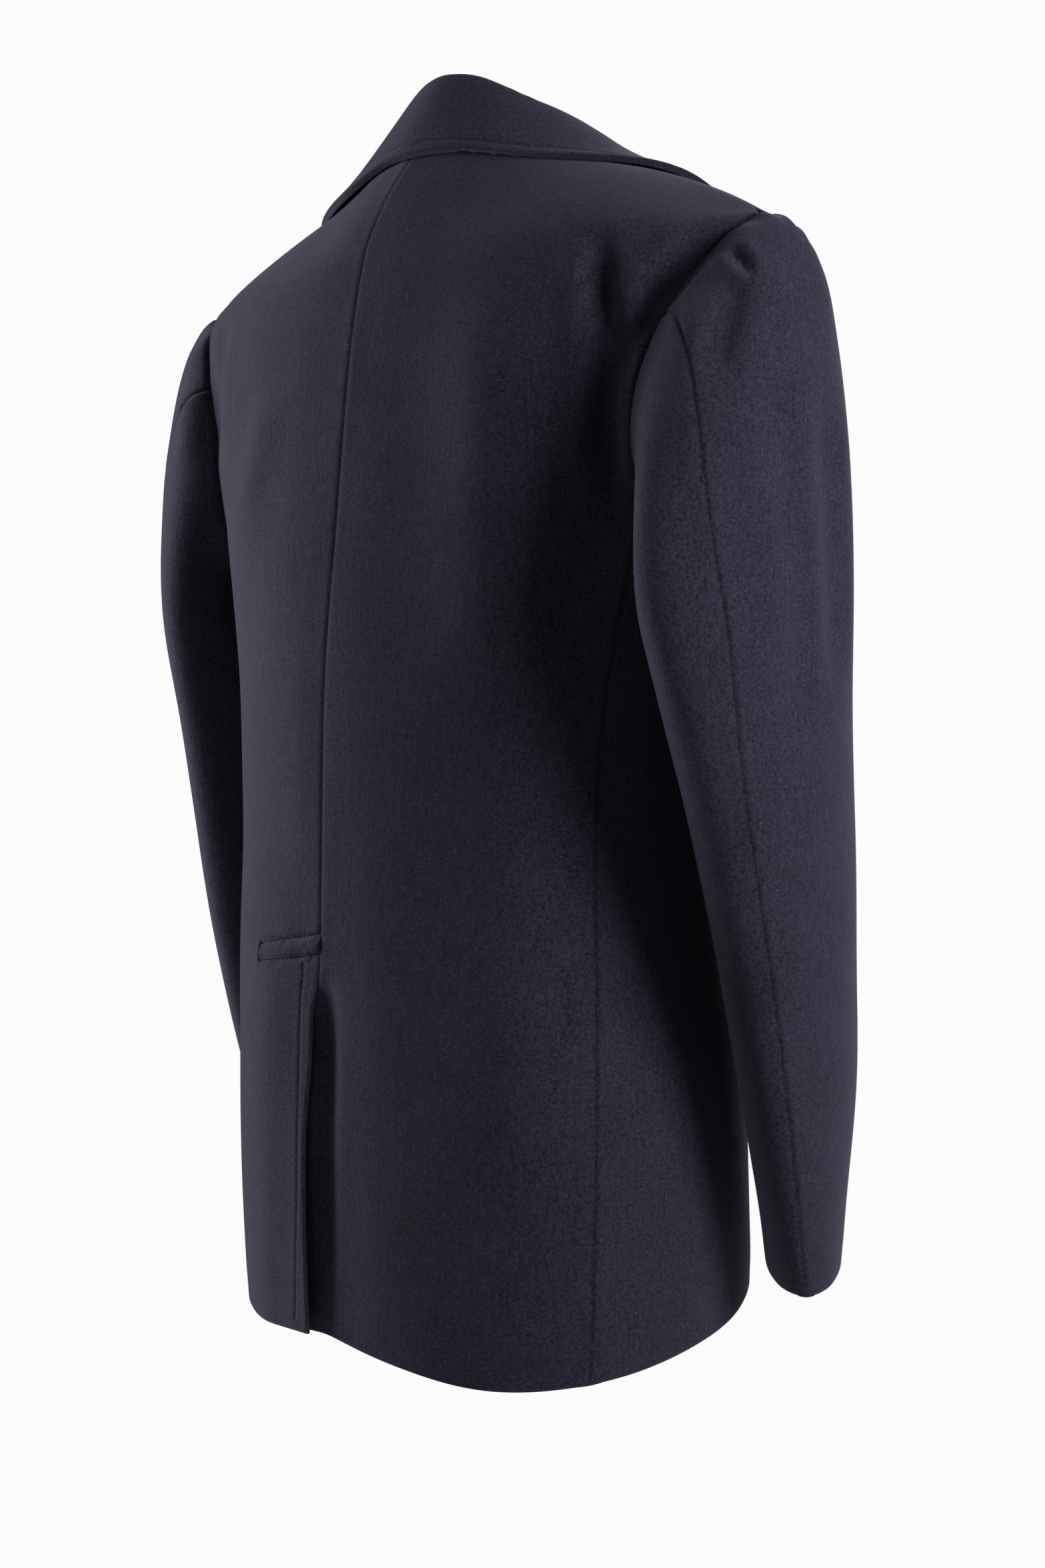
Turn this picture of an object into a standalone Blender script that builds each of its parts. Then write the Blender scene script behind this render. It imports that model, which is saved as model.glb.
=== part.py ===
"""A double-breasted pea coat of thick wool melton, hollow and in the shape that it keeps when it is worn.

Run it with: blender --background --python part.py

Frame: metres, +Z up. The front of the coat faces -Y and +X is the wearer's left. The origin lies on the
coat's middle line, 50 mm above the line through the two shoulder tips, where a wearer's neck and shoulders
carry the coat. The tables below are in millimetres and degrees.

The body is a stack of rounded sections from the hem to the neck. A place on it is given by its angle round
the section (0 at the centre back, 90 at the side, 180 at the centre front) and by its run, the distance up
the cloth from the hem. Each panel is a grid laid on that surface between its own seams, and is given its
thickness inwards. Each sleeve is a tube of sections that starts on the edge of the armhole.
"""

import math
from collections import namedtuple

import bmesh
import bpy
from mathutils import Vector

MM = 0.001
LEFT, RIGHT = 1, -1
SIDE_NAMES = {LEFT: "left", RIGHT: "right"}
UP = Vector((0, 0, 1))

CLOTH = 2.6  # one thickness of melton
DOUBLE_CLOTH = 4.0  # the two thicknesses of the collar and the lapels, sewn together
SEAM_GAP = 0.3  # between two panels that are sewn together
SLEEVE_SEAM_GAP = 0.6  # between a top sleeve and its under sleeve
LAYER_GAP = 0.8  # between cloths that lie on each other
TURNED_HEIGHT = 3.7  # from the body to the middle of the turned-back collar and lapels

# The body, from the hem up. half_width is at the sides; back, side and front are places along Y of the
# centre back, the widest points and the centre front; drop lowers the section at the centre front and dip
# lowers it between the centre back and the side; squareness is the power of the rounded outline, and turn
# swings the section round the wearer's axis.
Section = namedtuple("Section", "run height half_width back side front drop dip squareness turn")
BODY_SECTIONS = [
    Section(0, -720, 176, 113, -25, -168, 0, 0, 2.3, -7.0),
    Section(100, -620, 182, 116, -22, -160, 0, 0, 2.3, -6.5),
    Section(180, -540, 181, 117, -19, -153, 0, 0, 2.3, -6.0),
    Section(240, -480, 174, 117, -17, -148, 0, 0, 2.3, -5.0),
    Section(310, -410, 168, 117, -14, -144, 0, 0, 2.25, -4.0),
    Section(410, -310, 173, 119, -9, -140, 0, 0, 2.25, -2.0),
    Section(490, -230, 190, 117, -8, -136, 10, 0, 2.3, 0.0),
    Section(550, -170, 206, 113, -7, -130, 25, 0, 2.3, 0.0),
    Section(622, -100, 221, 104, -4, -120, 45, 2, 2.25, 0.0),
    Section(675, -50, 231, 92, 0, -105, 60, 8, 2.1, 0.0),
    Section(712, -30, 193, 83, -3, -98, 64, 12, 2.0, 0.0),
    Section(752, -13, 152, 73, -6, -90, 68, 12, 1.95, 0.0),
    Section(794, 0, 111, 63, -8, -80, 72, 6, 1.95, 0.0),
    Section(832, 12, 80, 52, -10, -70, 75, 0, 2.0, 0.0),
]
TIP_RUN = 675
SHOULDER_HALF = 231  # from the middle to the shoulder's tip
NECK_RUN = 832
BACK_RISE = 8  # of the neckline at the centre back

# The coat hangs a little askew: the hem stands SWAY_LOW and the shoulders SWAY_HIGH towards the wearer's
# left, the left shoulder droops, and the centre back seam lies to the left of the middle.
SWAY_LOW, SWAY_HIGH, SWAY_FROM, SWAY_TO = 8, -5, -450, -150
SHOULDER_DROPS, DROP_FROM, DROP_TO = {LEFT: 6, RIGHT: -1}, 450, 650
SEAM_SLIDE_LOW, SEAM_SLIDE_HIGH, SLIDE_FROM, SLIDE_TO = 4, 11, 250, 480

# How far the hem hangs above (+) or below (-) its level at the side, round the coat.
HemLift = namedtuple("HemLift", "angle left right")
HEM_LIFTS = [
    HemLift(0, -3, -3), HemLift(25, -3, -14), HemLift(48, 2, -23), HemLift(70, 7, -18),
    HemLift(90, 12, -6), HemLift(112, 20, 11), HemLift(138, 34, 32), HemLift(160, 38, 38),
    HemLift(180, 38, 38),
]
HEM_FADE = 260  # the run over which the hem's shape dies out

# The largest folds of the body: a trough (depth > 0) or a ridge (depth < 0) between two places.
Fold = namedtuple("Fold", "side low_angle low_run high_angle high_run half_width depth")
FOLDS = [
    Fold(RIGHT, 62, 440, 58, 640, 13, 5.0),
    Fold(RIGHT, 47, 470, 44, 620, 16, -2.5),
    Fold(LEFT, 62, 450, 58, 640, 13, 4.5),
    Fold(LEFT, 48, 470, 46, 610, 15, -3.0),
]
FOLD_MM_PER_DEGREE = 3.0

SIDE_SEAM_HEM, SIDE_SEAM_TOP = 68, 71  # angle of the seam between back and front, at the hem and armhole
ARMHOLE_MIDDLE, ARMHOLE_HALF = 89, 20  # angle of its middle, and half its width
UNDERARM_RUN = 474
ARMHOLE_EGG = 0.4  # how much narrower the armhole is at the top than at the underarm
ARMHOLE_CORNER = 236  # turn round the armhole, from its top over the back, where its front edge starts

# The vent at the centre back: the left back lies over the right back's extension.
VENT_UNDERLAP = 40
VENT_STAND_OFF = 6  # of the flap's free edge, at the hem
VENT_SET_BACK = 10  # of the flap's free edge from the centre back, where it hangs open most
FLAP_EASE = 14  # degrees over which the flap comes down to the back again

# The fronts, seen from the front on the wearer's left half, as x and z. The left front lies on top.
FRONT_LIFT = 4.2  # the left front's height over its usual place, where it lies on the right one
BREAK = (-85, -275)  # where the lapel starts to turn back
ROLL_TOP_ANGLE = 116  # where the roll line ends, on the neckline
NOTCH = (124, -58)
LAPEL_CORNER = (160, -90)
COLLAR_CORNER = (158, -50)
NOTCH_CELLS = 5  # of the cells across the collar and the lapels lie inside the notch
LAPEL_ROLL = 3.6  # radius of the turn, at the middle of the cloth
LAPEL_TOP, TURN_TOP = 0.984, 0.945  # how far up the lapel and its turn reach, as shares
LAPEL_START = 0.025
RIGHT_LAPEL_STARTS = 0.38, 0.515
TURN_FOOT = DOUBLE_CLOTH / 2 - CLOTH  # height of the turn's start: its inner face is the front's
TURN_RISE = 2.2  # the turn stands off the front by this where it meets the neck
LAPEL_SETTLE = 25  # distance from the turn at which the lapel lies flat

# The collar round one half of the neck. angle is the place on the neckline; stand is its height there and
# lean how far its top leans inwards; edge_angle and left_run or right_run are the place over which the
# fall's edge lies.
CollarStation = namedtuple("CollarStation", "share angle stand lean edge_angle left_run right_run")
COLLAR_STATIONS = [
    CollarStation(0.00, 0, 42, 15, 0, 792, 792),
    CollarStation(0.25, 32, 40, 18, 33, 796, 805),
    CollarStation(0.50, 64, 28, 17, 66, 786, 790),
    CollarStation(0.70, 89, 17, 11, 88, 761, 761),
    CollarStation(0.85, 104, 9, 4, 101, 734, 734),
]
COLLAR_END_STAND, COLLAR_END_LEAN = 2.5, 1
COLLAR_SHIFT = Vector((-3, -5, 0))  # how far the collar's top stands from over the neckline

# Pocket welts, seen from the front: the middles of their ends, and their width.
WELT_TOP, WELT_BOTTOM, WELT_WIDTH = (112, -405), (146, -560), 30

BUTTON_RADIUS, BUTTON_DEPTH, BUTTON_SIDES = 14, 4.5, 18
BUTTON_COLUMNS, BUTTON_ROWS = (-60, 60), (-300, -400, -500)

# The sleeve below the armhole. out is the distance of its middle from the coat's middle plane; the section
# is long from back to front and short from side to side, turned inwards at the front; tilt lowers its back
# and raises its front; back_seam is the turn round the sleeve of its back seam, from the outside over the
# back.
SleeveSection = namedtuple("SleeveSection", "height out y half_long half_short turn tilt back_seam")
SLEEVE_SECTIONS = [
    SleeveSection(-300, 226, 14, 90, 41, 0, 0, 42),
    SleeveSection(-393, 223, -14, 82, 39, 8, 1, 58),
    SleeveSection(-495, 219, -43, 75, 36, 16, 3, 68),
    SleeveSection(-592, 209, -71, 71, 31, 24, 5, 75),
    SleeveSection(-679, 192, -99, 66, 24, 36, 13, 87),
]
ARMHOLE_BACK_SEAM = 69
FRONT_SEAM = 255

# How much further forward the left sleeve hangs than the right one.
# across is how far both hang towards the wearer's left.
Forward = namedtuple("Forward", "height left right across")
SLEEVE_FORWARD = [
    Forward(-40, 0, 0, -5), Forward(-170, 40, 0, -5), Forward(-300, 46, 0, -4),
    Forward(-480, 28, 0, 0), Forward(-680, 16, 0, 3),
]

# How strongly the sleeve's head stands out before it falls, round the armhole.
HeadPull = namedtuple("HeadPull", "turn left right")
HEAD_PULLS = [
    HeadPull(0, 120, 148), HeadPull(60, 105, 133), HeadPull(120, 105, 115), HeadPull(180, 50, 50),
    HeadPull(240, 90, 95), HeadPull(300, 110, 133), HeadPull(360, 120, 148),
]

# Numbers of grid cells
BACK_COLUMNS, BACK_LOWER_ROWS, BACK_ARM_ROWS, BACK_ROWS = 11, 15, 22, 26
VENT_ROWS, UNDERLAP_COLUMNS = 7, 2
FRONT_COLUMNS, FRONT_CORNER_COLUMN = 15, 5
FRONT_CORNER_ROW, FRONT_ARM_ROWS, FRONT_ROWS = 14, 20, 27
LAPEL_ROWS, LAPEL_COLUMNS, TURN_COLUMNS = 12, 8, 4
COLLAR_HALF_COLUMNS, STAND_ROWS, FALL_ROWS = 15, 5, 8
CAP_ROWS, ARM_ROWS, SLEEVE_COLUMNS = 7, 11, 10
WELT_COLUMNS, WELT_ROWS = 2, 8


def ease(t):
    """0 below 0, 1 above 1, and a smooth rise between."""
    t = min(max(t, 0.0), 1.0)
    return t * t * (3 - 2 * t)


def mix(a, b, share):
    return tuple(p + (q - p) * share for p, q in zip(a, b))


def mix_one(low, high, share):
    return low + (high - low) * share


def hermite(start, end, leave, arrive, t):
    """The curve from start to end that leaves and arrives along the given tangents."""
    return (
        start * (1 + 2 * t) * (1 - t) ** 2
        + end * t * t * (3 - 2 * t)
        + leave * t * (1 - t) ** 2
        - arrive * t * t * (1 - t)
    )


def smooth_row(rows, key, at):
    """The table's row at this value of its key column, with a smooth curve through each column."""
    sign = -1 if getattr(rows[0], key) > getattr(rows[-1], key) else 1
    keys = [getattr(row, key) * sign for row in rows]
    at = min(max(at * sign, keys[0]), keys[-1])
    i = 0
    while i < len(rows) - 2 and keys[i + 1] < at:
        i += 1
    span = keys[i + 1] - keys[i]
    t = (at - keys[i]) / span

    def slope(column, k):
        before, after = max(k - 1, 0), min(k + 1, len(rows) - 1)
        return (rows[after][column] - rows[before][column]) / (keys[after] - keys[before])

    columns = range(len(rows[0]))
    return type(rows[0])(*(
        hermite(rows[i][c], rows[i + 1][c], slope(c, i) * span, slope(c, i + 1) * span, t)
        for c in columns
    ))


def find(function, low, high):
    """Where a function that falls from low to high passes through 0."""
    for _ in range(30):
        middle = (low + high) / 2
        if function(middle) > 0:
            low = middle
        else:
            high = middle
    return (low + high) / 2


def hem_lift(on_left, angle, run):
    around = abs((angle + 180) % 360 - 180)
    row = smooth_row(HEM_LIFTS, "angle", around)
    return (row.left if on_left else row.right) * (1 - ease(run / HEM_FADE))


def fold_lift(side, angle, run):
    lift = 0.0
    for fold in FOLDS:
        share = (run - fold.low_run) / (fold.high_run - fold.low_run)
        if fold.side != side or not 0 < share < 1:
            continue
        middle = fold.low_angle + (fold.high_angle - fold.low_angle) * share
        across = (angle - middle) * FOLD_MM_PER_DEGREE / fold.half_width
        lift -= fold.depth * math.exp(-across * across) * math.sin(math.pi * share)
    return lift


def body_point(side, angle, run):
    """The outer face of the body, in millimetres."""
    row = smooth_row(BODY_SECTIONS, "run", run)
    a = math.radians(angle)
    back, across = math.cos(a), math.sin(a)
    depth = row.back - row.side if back > 0 else row.side - row.front
    p = row.squareness
    radius = (abs(across / row.half_width) ** p + abs(back / depth) ** p) ** (-1 / p)
    radius += fold_lift(side, angle, run)
    x = radius * across * side
    z = row.height + hem_lift(x > 0, angle, run)
    if back < 0:
        z -= row.drop * back * back
    else:
        z -= row.dip * math.sin(2 * a) ** 2
        z += BACK_RISE * back * back * ease((run - TIP_RUN) / (NECK_RUN - TIP_RUN))
    y = row.side + radius * back
    t = math.radians(row.turn)
    sway = mix_one(SWAY_LOW, SWAY_HIGH, ease((z - SWAY_FROM) / (SWAY_TO - SWAY_FROM)))
    drop = SHOULDER_DROPS[side] * ease(abs(x) / SHOULDER_HALF)
    z -= drop * ease((run - DROP_FROM) / (DROP_TO - DROP_FROM))
    if back > 0:
        slide = mix_one(SEAM_SLIDE_LOW, SEAM_SLIDE_HIGH, ease((run - SLIDE_FROM) / (SLIDE_TO - SLIDE_FROM)))
        x += slide * back ** 4 * (1 - ease((run - TIP_RUN) / (NECK_RUN - TIP_RUN)))
    return Vector((x * math.cos(t) - y * math.sin(t) + sway, x * math.sin(t) + y * math.cos(t), z))


def body_normal(side, angle, run):
    low, high = max(run - 0.5, 0), min(run + 0.5, NECK_RUN)
    along_angle = body_point(side, angle + 0.2, run) - body_point(side, angle - 0.2, run)
    along_run = body_point(side, angle, high) - body_point(side, angle, low)
    return along_run.cross(along_angle).normalized() * side


def body_layer(side, angle, run, lift=0.0):
    """The outer and inner point of a cloth whose outer face stands lift outside the body."""
    at = body_point(side, angle, run)
    out = body_normal(side, angle, run)
    return at + out * lift, at + out * (lift - CLOTH)


def degrees_for(side, angle, run, distance):
    """The change of angle that goes this far along the cloth."""
    step = (body_point(side, angle + 0.5, run) - body_point(side, angle - 0.5, run)).length
    return distance / step


def on_front(x, z):
    """(angle, run) of the place on the left half that is seen at x, z from the front."""

    def angle_at(run):
        return find(lambda angle: body_point(LEFT, angle, run).x - x, 91, 250)

    run = find(lambda run: z - body_point(LEFT, angle_at(run), run).z, 150, NECK_RUN)
    return angle_at(run), run


def armhole(turn):
    """(angle, run) on the armhole's edge. turn is 0 at the shoulder tip, 90 at the back, 180 underneath."""
    t = math.radians(turn)
    middle_run, half_run = (TIP_RUN + UNDERARM_RUN) / 2, (TIP_RUN - UNDERARM_RUN) / 2
    width = ARMHOLE_HALF * (1 - ARMHOLE_EGG * math.cos(t))
    return ARMHOLE_MIDDLE - width * math.sin(t), middle_run + half_run * math.cos(t)


JUNCTION_TURN = find(lambda turn: SIDE_SEAM_TOP - armhole(turn)[0], 110, 179)
JUNCTION_RUN = armhole(JUNCTION_TURN)[1]


def side_seam(run):
    return SIDE_SEAM_HEM + (SIDE_SEAM_TOP - SIDE_SEAM_HEM) * run / JUNCTION_RUN


def new_material(name, colour, roughness, metallic=0.0):
    material = bpy.data.materials.new(name)
    material.use_nodes = True
    shader = material.node_tree.nodes["Principled BSDF"]
    shader.inputs["Base Color"].default_value = (*colour, 1.0)
    shader.inputs["Roughness"].default_value = roughness
    shader.inputs["Metallic"].default_value = metallic
    return material


def add_part(name, shape, material, collection):
    mesh = bpy.data.meshes.new(name)
    shape.to_mesh(mesh)
    shape.free()
    mesh.shade_smooth()
    mesh.set_sharp_from_angle(angle=math.radians(40))
    mesh.materials.append(material)
    part = bpy.data.objects.new(name, mesh)
    collection.objects.link(part)
    return part


def make_wall(name, rows, columns, place, material, collection, left_out=None):
    """A closed wall over a grid of rows by columns cells.

    place(i, j) gives the outer and the inner point of a grid node, in millimetres. left_out(i, j) says
    which cells are not there.
    """
    shape = bmesh.new()
    bmesh.ops.create_grid(shape, x_segments=columns, y_segments=rows, size=1.0)
    inner = shape.verts.layers.float_vector.new("inner")
    nodes = {v: (round((v.co.y + 1) / 2 * rows), round((v.co.x + 1) / 2 * columns)) for v in shape.verts}
    if left_out:
        cells = [
            face for face in shape.faces
            if left_out(min(nodes[v][0] for v in face.verts), min(nodes[v][1] for v in face.verts))
        ]
        bmesh.ops.delete(shape, geom=cells, context="FACES")
    for vertex in shape.verts:
        outer_point, inner_point = place(*nodes[vertex])
        vertex.co = outer_point * MM
        vertex[inner] = inner_point * MM
    made = bmesh.ops.extrude_face_region(shape, geom=shape.faces[:])
    for item in made["geom"]:
        if isinstance(item, bmesh.types.BMVert):
            item.co = item[inner]
    bmesh.ops.recalc_face_normals(shape, faces=shape.faces[:])
    return add_part(name, shape, material, collection)


def thick(surface, u, v, thickness, u_step=0.01, v_step=0.01):
    """The two faces' points of a cloth whose middle is surface(u, v)."""
    along_u = surface(u + u_step, v) - surface(u - u_step, v)
    along_v = surface(u, v + v_step) - surface(u, v - v_step)
    out = along_u.cross(along_v).normalized() * (thickness / 2)
    at = surface(u, v)
    return at + out, at - out


# The backs


def back_edge(i):
    """(angle, run) up the edge of a back: the side seam, the armhole and the shoulder seam."""
    if i <= BACK_LOWER_ROWS:
        run = JUNCTION_RUN * i / BACK_LOWER_ROWS
        return side_seam(run), run
    if i <= BACK_ARM_ROWS:
        share = (i - BACK_LOWER_ROWS) / (BACK_ARM_ROWS - BACK_LOWER_ROWS)
        return armhole(JUNCTION_TURN * (1 - share))
    share = (i - BACK_ARM_ROWS) / (BACK_ROWS - BACK_ARM_ROWS)
    return ARMHOLE_MIDDLE, TIP_RUN + (NECK_RUN - TIP_RUN) * share


def make_back_left(material, collection):
    vent_run = back_edge(VENT_ROWS - 1)[1]
    underlap_angle = degrees_for(LEFT, 0, 0, VENT_UNDERLAP)

    def place(i, j):
        edge_angle, run = back_edge(i)
        share = j / BACK_COLUMNS
        angle = edge_angle * share
        angle += degrees_for(LEFT, angle, run, SEAM_GAP / 2) * (1 - 2 * share)
        lift = 0.0
        if i < VENT_ROWS:
            up = run / vent_run
            back = VENT_SET_BACK * ease(2.5 * (1 - up)) * (0.4 + 0.6 * up) * (1 - share)
            angle += degrees_for(LEFT, angle, run, back)
            flap = 1 - ease((angle - underlap_angle) / FLAP_EASE)
            near = 1 - ease(angle / underlap_angle)
            lift = flap * (CLOTH + LAYER_GAP) + near * VENT_STAND_OFF * ease(1.4 * (1 - up))
        return body_layer(LEFT, angle, run, lift)

    return make_wall("back_left", BACK_ROWS, BACK_COLUMNS, place, material, collection)


def make_back_right(material, collection):
    """The right back, with the vent's underlap as extra columns past the centre back."""

    def place(i, j):
        edge_angle, run = back_edge(i)
        share = (j - UNDERLAP_COLUMNS) / BACK_COLUMNS
        if share < 0:
            angle = degrees_for(RIGHT, 0, run, VENT_UNDERLAP) * (j / UNDERLAP_COLUMNS - 1)
        else:
            angle = edge_angle * share
            angle += degrees_for(RIGHT, angle, run, SEAM_GAP / 2) * (1 - 2 * share)
        return body_layer(RIGHT, angle, run)

    def left_out(i, j):
        return j < UNDERLAP_COLUMNS and i >= VENT_ROWS - 1

    columns = BACK_COLUMNS + UNDERLAP_COLUMNS
    return make_wall("back_right", BACK_ROWS, columns, place, material, collection, left_out)


# The fronts


def front_lift(side, angle, run):
    """The left front lies over the right one where they overlap."""
    if side == RIGHT:
        return 0.0
    return FRONT_LIFT * ease((angle - 126) / 16) * (1 - ease((run - 620) / 110))


def front_edge_angle(run):
    """Angle of the front's edge: straight down below the break, the lapel's roll line above it."""

    top = body_point(LEFT, ROLL_TOP_ANGLE, NECK_RUN)
    t = math.radians(smooth_row(BODY_SECTIONS, "run", run).turn)

    def past_edge(angle):
        at = body_point(LEFT, angle, run)
        up = (at.z - BREAK[1]) / (top.z - BREAK[1])
        straight = BREAK[0] + (top.x - BREAK[0]) * max(up, 0.0)
        return at.x * math.cos(t) + at.y * math.sin(t) - straight

    return find(past_edge, ROLL_TOP_ANGLE, 250)


def make_front(side, material, collection):
    corner_angle, corner_run = armhole(ARMHOLE_CORNER)

    def inner_edge(i):
        """(angle, run) at the corner column: straight up to the armhole, and then along it."""
        if i <= FRONT_CORNER_ROW:
            return corner_angle, corner_run * i / FRONT_CORNER_ROW
        if i <= FRONT_ARM_ROWS:
            share = (i - FRONT_CORNER_ROW) / (FRONT_ARM_ROWS - FRONT_CORNER_ROW)
            return armhole(ARMHOLE_CORNER + (360 - ARMHOLE_CORNER) * share)
        share = (i - FRONT_ARM_ROWS) / (FRONT_ROWS - FRONT_ARM_ROWS)
        return ARMHOLE_MIDDLE, TIP_RUN + (NECK_RUN - TIP_RUN) * (1.3 * share - 0.3 * share * share)

    edges = {}
    for i in range(FRONT_ROWS + 1):
        edges[i] = front_edge_angle(inner_edge(i)[1])

    def place(i, j):
        if j <= FRONT_CORNER_COLUMN:
            share = j / FRONT_CORNER_COLUMN
            if i <= FRONT_CORNER_ROW:
                top_angle, top_run = armhole(JUNCTION_TURN + (ARMHOLE_CORNER - JUNCTION_TURN) * share)
                up = i / FRONT_CORNER_ROW
                run = top_run * up
                straight = side_seam(run) + (corner_angle - side_seam(run)) * share
                angle = straight + (top_angle - straight) * ease(up)
            else:
                angle, run = inner_edge(i)
        else:
            share = (j - FRONT_CORNER_COLUMN) / (FRONT_COLUMNS - FRONT_CORNER_COLUMN)
            start, run = inner_edge(i)
            angle = start + (edges[i] - start) * share
        share = j / FRONT_COLUMNS
        if i > FRONT_CORNER_ROW:
            share = max(0, j - FRONT_CORNER_COLUMN) / (FRONT_COLUMNS - FRONT_CORNER_COLUMN)
        angle += degrees_for(side, angle, run, SEAM_GAP / 2) * (1 - 2 * share)
        return body_layer(side, angle, run, front_lift(side, angle, run))

    def left_out(i, j):
        return i >= FRONT_CORNER_ROW and j < FRONT_CORNER_COLUMN

    name = f"front_{SIDE_NAMES[side]}"
    return make_wall(name, FRONT_ROWS, FRONT_COLUMNS, place, material, collection, left_out)


def make_lapel(side, low_inner, low_outer, material, collection):
    """The turned-back top of a front. low_inner and low_outer say how far up it starts, as shares."""
    break_run = on_front(*BREAK)[1]
    notch = on_front(*NOTCH)
    corner = on_front(*LAPEL_CORNER)
    roll_top = (ROLL_TOP_ANGLE, NECK_RUN)
    notch_share = NOTCH_CELLS / LAPEL_COLUMNS

    def roll(v):
        """Shares of the run are stretched near the top, where the roll line follows the neckline."""
        run = break_run + (NECK_RUN - break_run) * math.sin(v * math.pi / 2) ** 0.9
        return front_edge_angle(run), run

    rolls = {}
    low_angle, low_run = roll(LAPEL_START)
    foot = (low_angle - 7, low_run - 8)

    def domain(d, v):
        """(angle, run) at the share d of the way from the roll line to the outer edge."""
        key = round(v, 6)
        if key not in rolls:
            rolls[key] = roll(v)
        inner = rolls[key]
        outer = mix(foot, corner, ease(v) * 0.35 + v * 0.65)
        if d < notch_share:
            gorge = mix(roll_top, notch, d / notch_share)
        else:
            gorge = mix(notch, corner, (d - notch_share) / (1 - notch_share))
        straight = mix(roll_top, corner, d)
        weight = v ** 4
        at = mix(inner, outer, d)
        return tuple(p + (g - s) * weight for p, g, s in zip(at, gorge, straight))

    def height_at(angle, run, distance):
        rise = (2 * LAPEL_ROLL + TURN_FOOT - TURNED_HEIGHT) * (1 - ease(distance / LAPEL_SETTLE))
        return front_lift(side, angle, run) + TURNED_HEIGHT + rise

    def middle(u, v):
        """u is -1 to 0 round the turn and 0 to 1 over the front."""
        angle, run = domain(max(u, 0.0), v)
        at = body_point(side, angle, run)
        out = body_normal(side, angle, run)
        root_angle, root_run = domain(0.0, v)
        root = body_point(side, root_angle, root_run)
        if u >= 0:
            return at + out * height_at(angle, run, (at - root).length)
        toward = domain(0.05, v)
        away = (root - body_point(side, *toward)).normalized()
        t = math.pi * -u
        base = front_lift(side, root_angle, root_run) + LAPEL_ROLL + TURN_FOOT + TURN_RISE * v
        return (
            root + away * (math.sin(t) * LAPEL_ROLL + SEAM_GAP)
            + out * (base + math.cos(t) * LAPEL_ROLL)
        )

    columns = TURN_COLUMNS + LAPEL_COLUMNS

    def place(i, j):
        u = j / TURN_COLUMNS - 1 if j <= TURN_COLUMNS else (j - TURN_COLUMNS) / LAPEL_COLUMNS
        low = low_inner + (low_outer - low_inner) * max(u, 0.0)
        top = LAPEL_TOP + (TURN_TOP - LAPEL_TOP) * ease(-u)
        v = low + (top - low) * i / LAPEL_ROWS
        return thick(middle, u, v, DOUBLE_CLOTH, u_step=0.004, v_step=0.003)

    return make_wall(f"lapel_{SIDE_NAMES[side]}", LAPEL_ROWS, columns, place, material, collection)


# The collar


def collar_stations():
    corner_angle, corner_run = on_front(*COLLAR_CORNER)
    end = CollarStation(
        1.0, ROLL_TOP_ANGLE, COLLAR_END_STAND, COLLAR_END_LEAN, corner_angle, corner_run, corner_run
    )
    return COLLAR_STATIONS + [end]


def make_collar(material, collection):
    stations = collar_stations()
    end = stations[-1]
    notch = on_front(*NOTCH)
    notch_share = NOTCH_CELLS / FALL_ROWS

    def fall_domain(side, station, share, t):
        edge_run = station.left_run if side == LEFT else station.right_run
        at = mix((station.angle, NECK_RUN), (station.edge_angle, edge_run), t)
        if t < notch_share:
            gorge = mix((end.angle, NECK_RUN), notch, t / notch_share)
        else:
            gorge = mix(notch, (end.edge_angle, end.left_run), (t - notch_share) / (1 - notch_share))
        straight = mix((end.angle, NECK_RUN), (end.edge_angle, end.left_run), t)
        weight = ease((share - 0.7) / 0.3) ** 2
        return tuple(p + (g - s) * weight for p, g, s in zip(at, gorge, straight))

    def middle(w, t):
        """w goes from the right front end (-1) to the left (1); t is -1 to 0 up the stand, 0 to 1 down."""
        side = LEFT if w >= 0 else RIGHT
        share = min(abs(w), 1.0)
        station = smooth_row(stations, "share", share)
        neck = body_point(side, station.angle, NECK_RUN)
        neck_out = body_normal(side, station.angle, NECK_RUN)
        centre = Vector((0, BODY_SECTIONS[-1].side, neck.z))
        inwards = (centre - neck).normalized()
        fall = 1 - ease(max(t, 0.0) * 1.15)
        angle, run = fall_domain(side, station, share, max(t, 0.0))
        at = body_point(side, angle, run)
        out = body_normal(side, angle, run)
        over = UP * station.stand + inwards * station.lean + COLLAR_SHIFT * (station.stand / 43)
        top = at + out * TURNED_HEIGHT + over * fall
        if t >= 0:
            return top
        rise = neck - body_point(side, station.angle, NECK_RUN - 1)
        base = neck - neck_out * (CLOTH / 2) + rise * (SEAM_GAP + DOUBLE_CLOTH / 2)
        width = 6 + 0.4 * station.stand
        leave = (UP * 0.8 + rise * 0.4) * station.stand * 1.3
        arrive = -inwards * width * 2.2
        return hermite(base, top, leave, arrive, 1 + t)

    rows = STAND_ROWS + FALL_ROWS

    def place(i, j):
        w = j / COLLAR_HALF_COLUMNS - 1
        t = i / STAND_ROWS - 1 if i <= STAND_ROWS else (i - STAND_ROWS) / FALL_ROWS
        return thick(middle, w, t, DOUBLE_CLOTH)

    return make_wall("collar", rows, 2 * COLLAR_HALF_COLUMNS, place, material, collection)


# What lies on the fronts


def make_welt(side, material, collection):
    def place(i, j):
        x, z = mix(WELT_BOTTOM, WELT_TOP, i / WELT_ROWS)
        angle, run = on_front(x + WELT_WIDTH * (j / WELT_COLUMNS - 0.5), z)
        lift = front_lift(side, angle, run) + LAYER_GAP + CLOTH
        return body_layer(side, angle, run, lift)

    return make_wall(f"pocket_welt_{SIDE_NAMES[side]}", WELT_ROWS, WELT_COLUMNS, place, material, collection)


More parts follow.
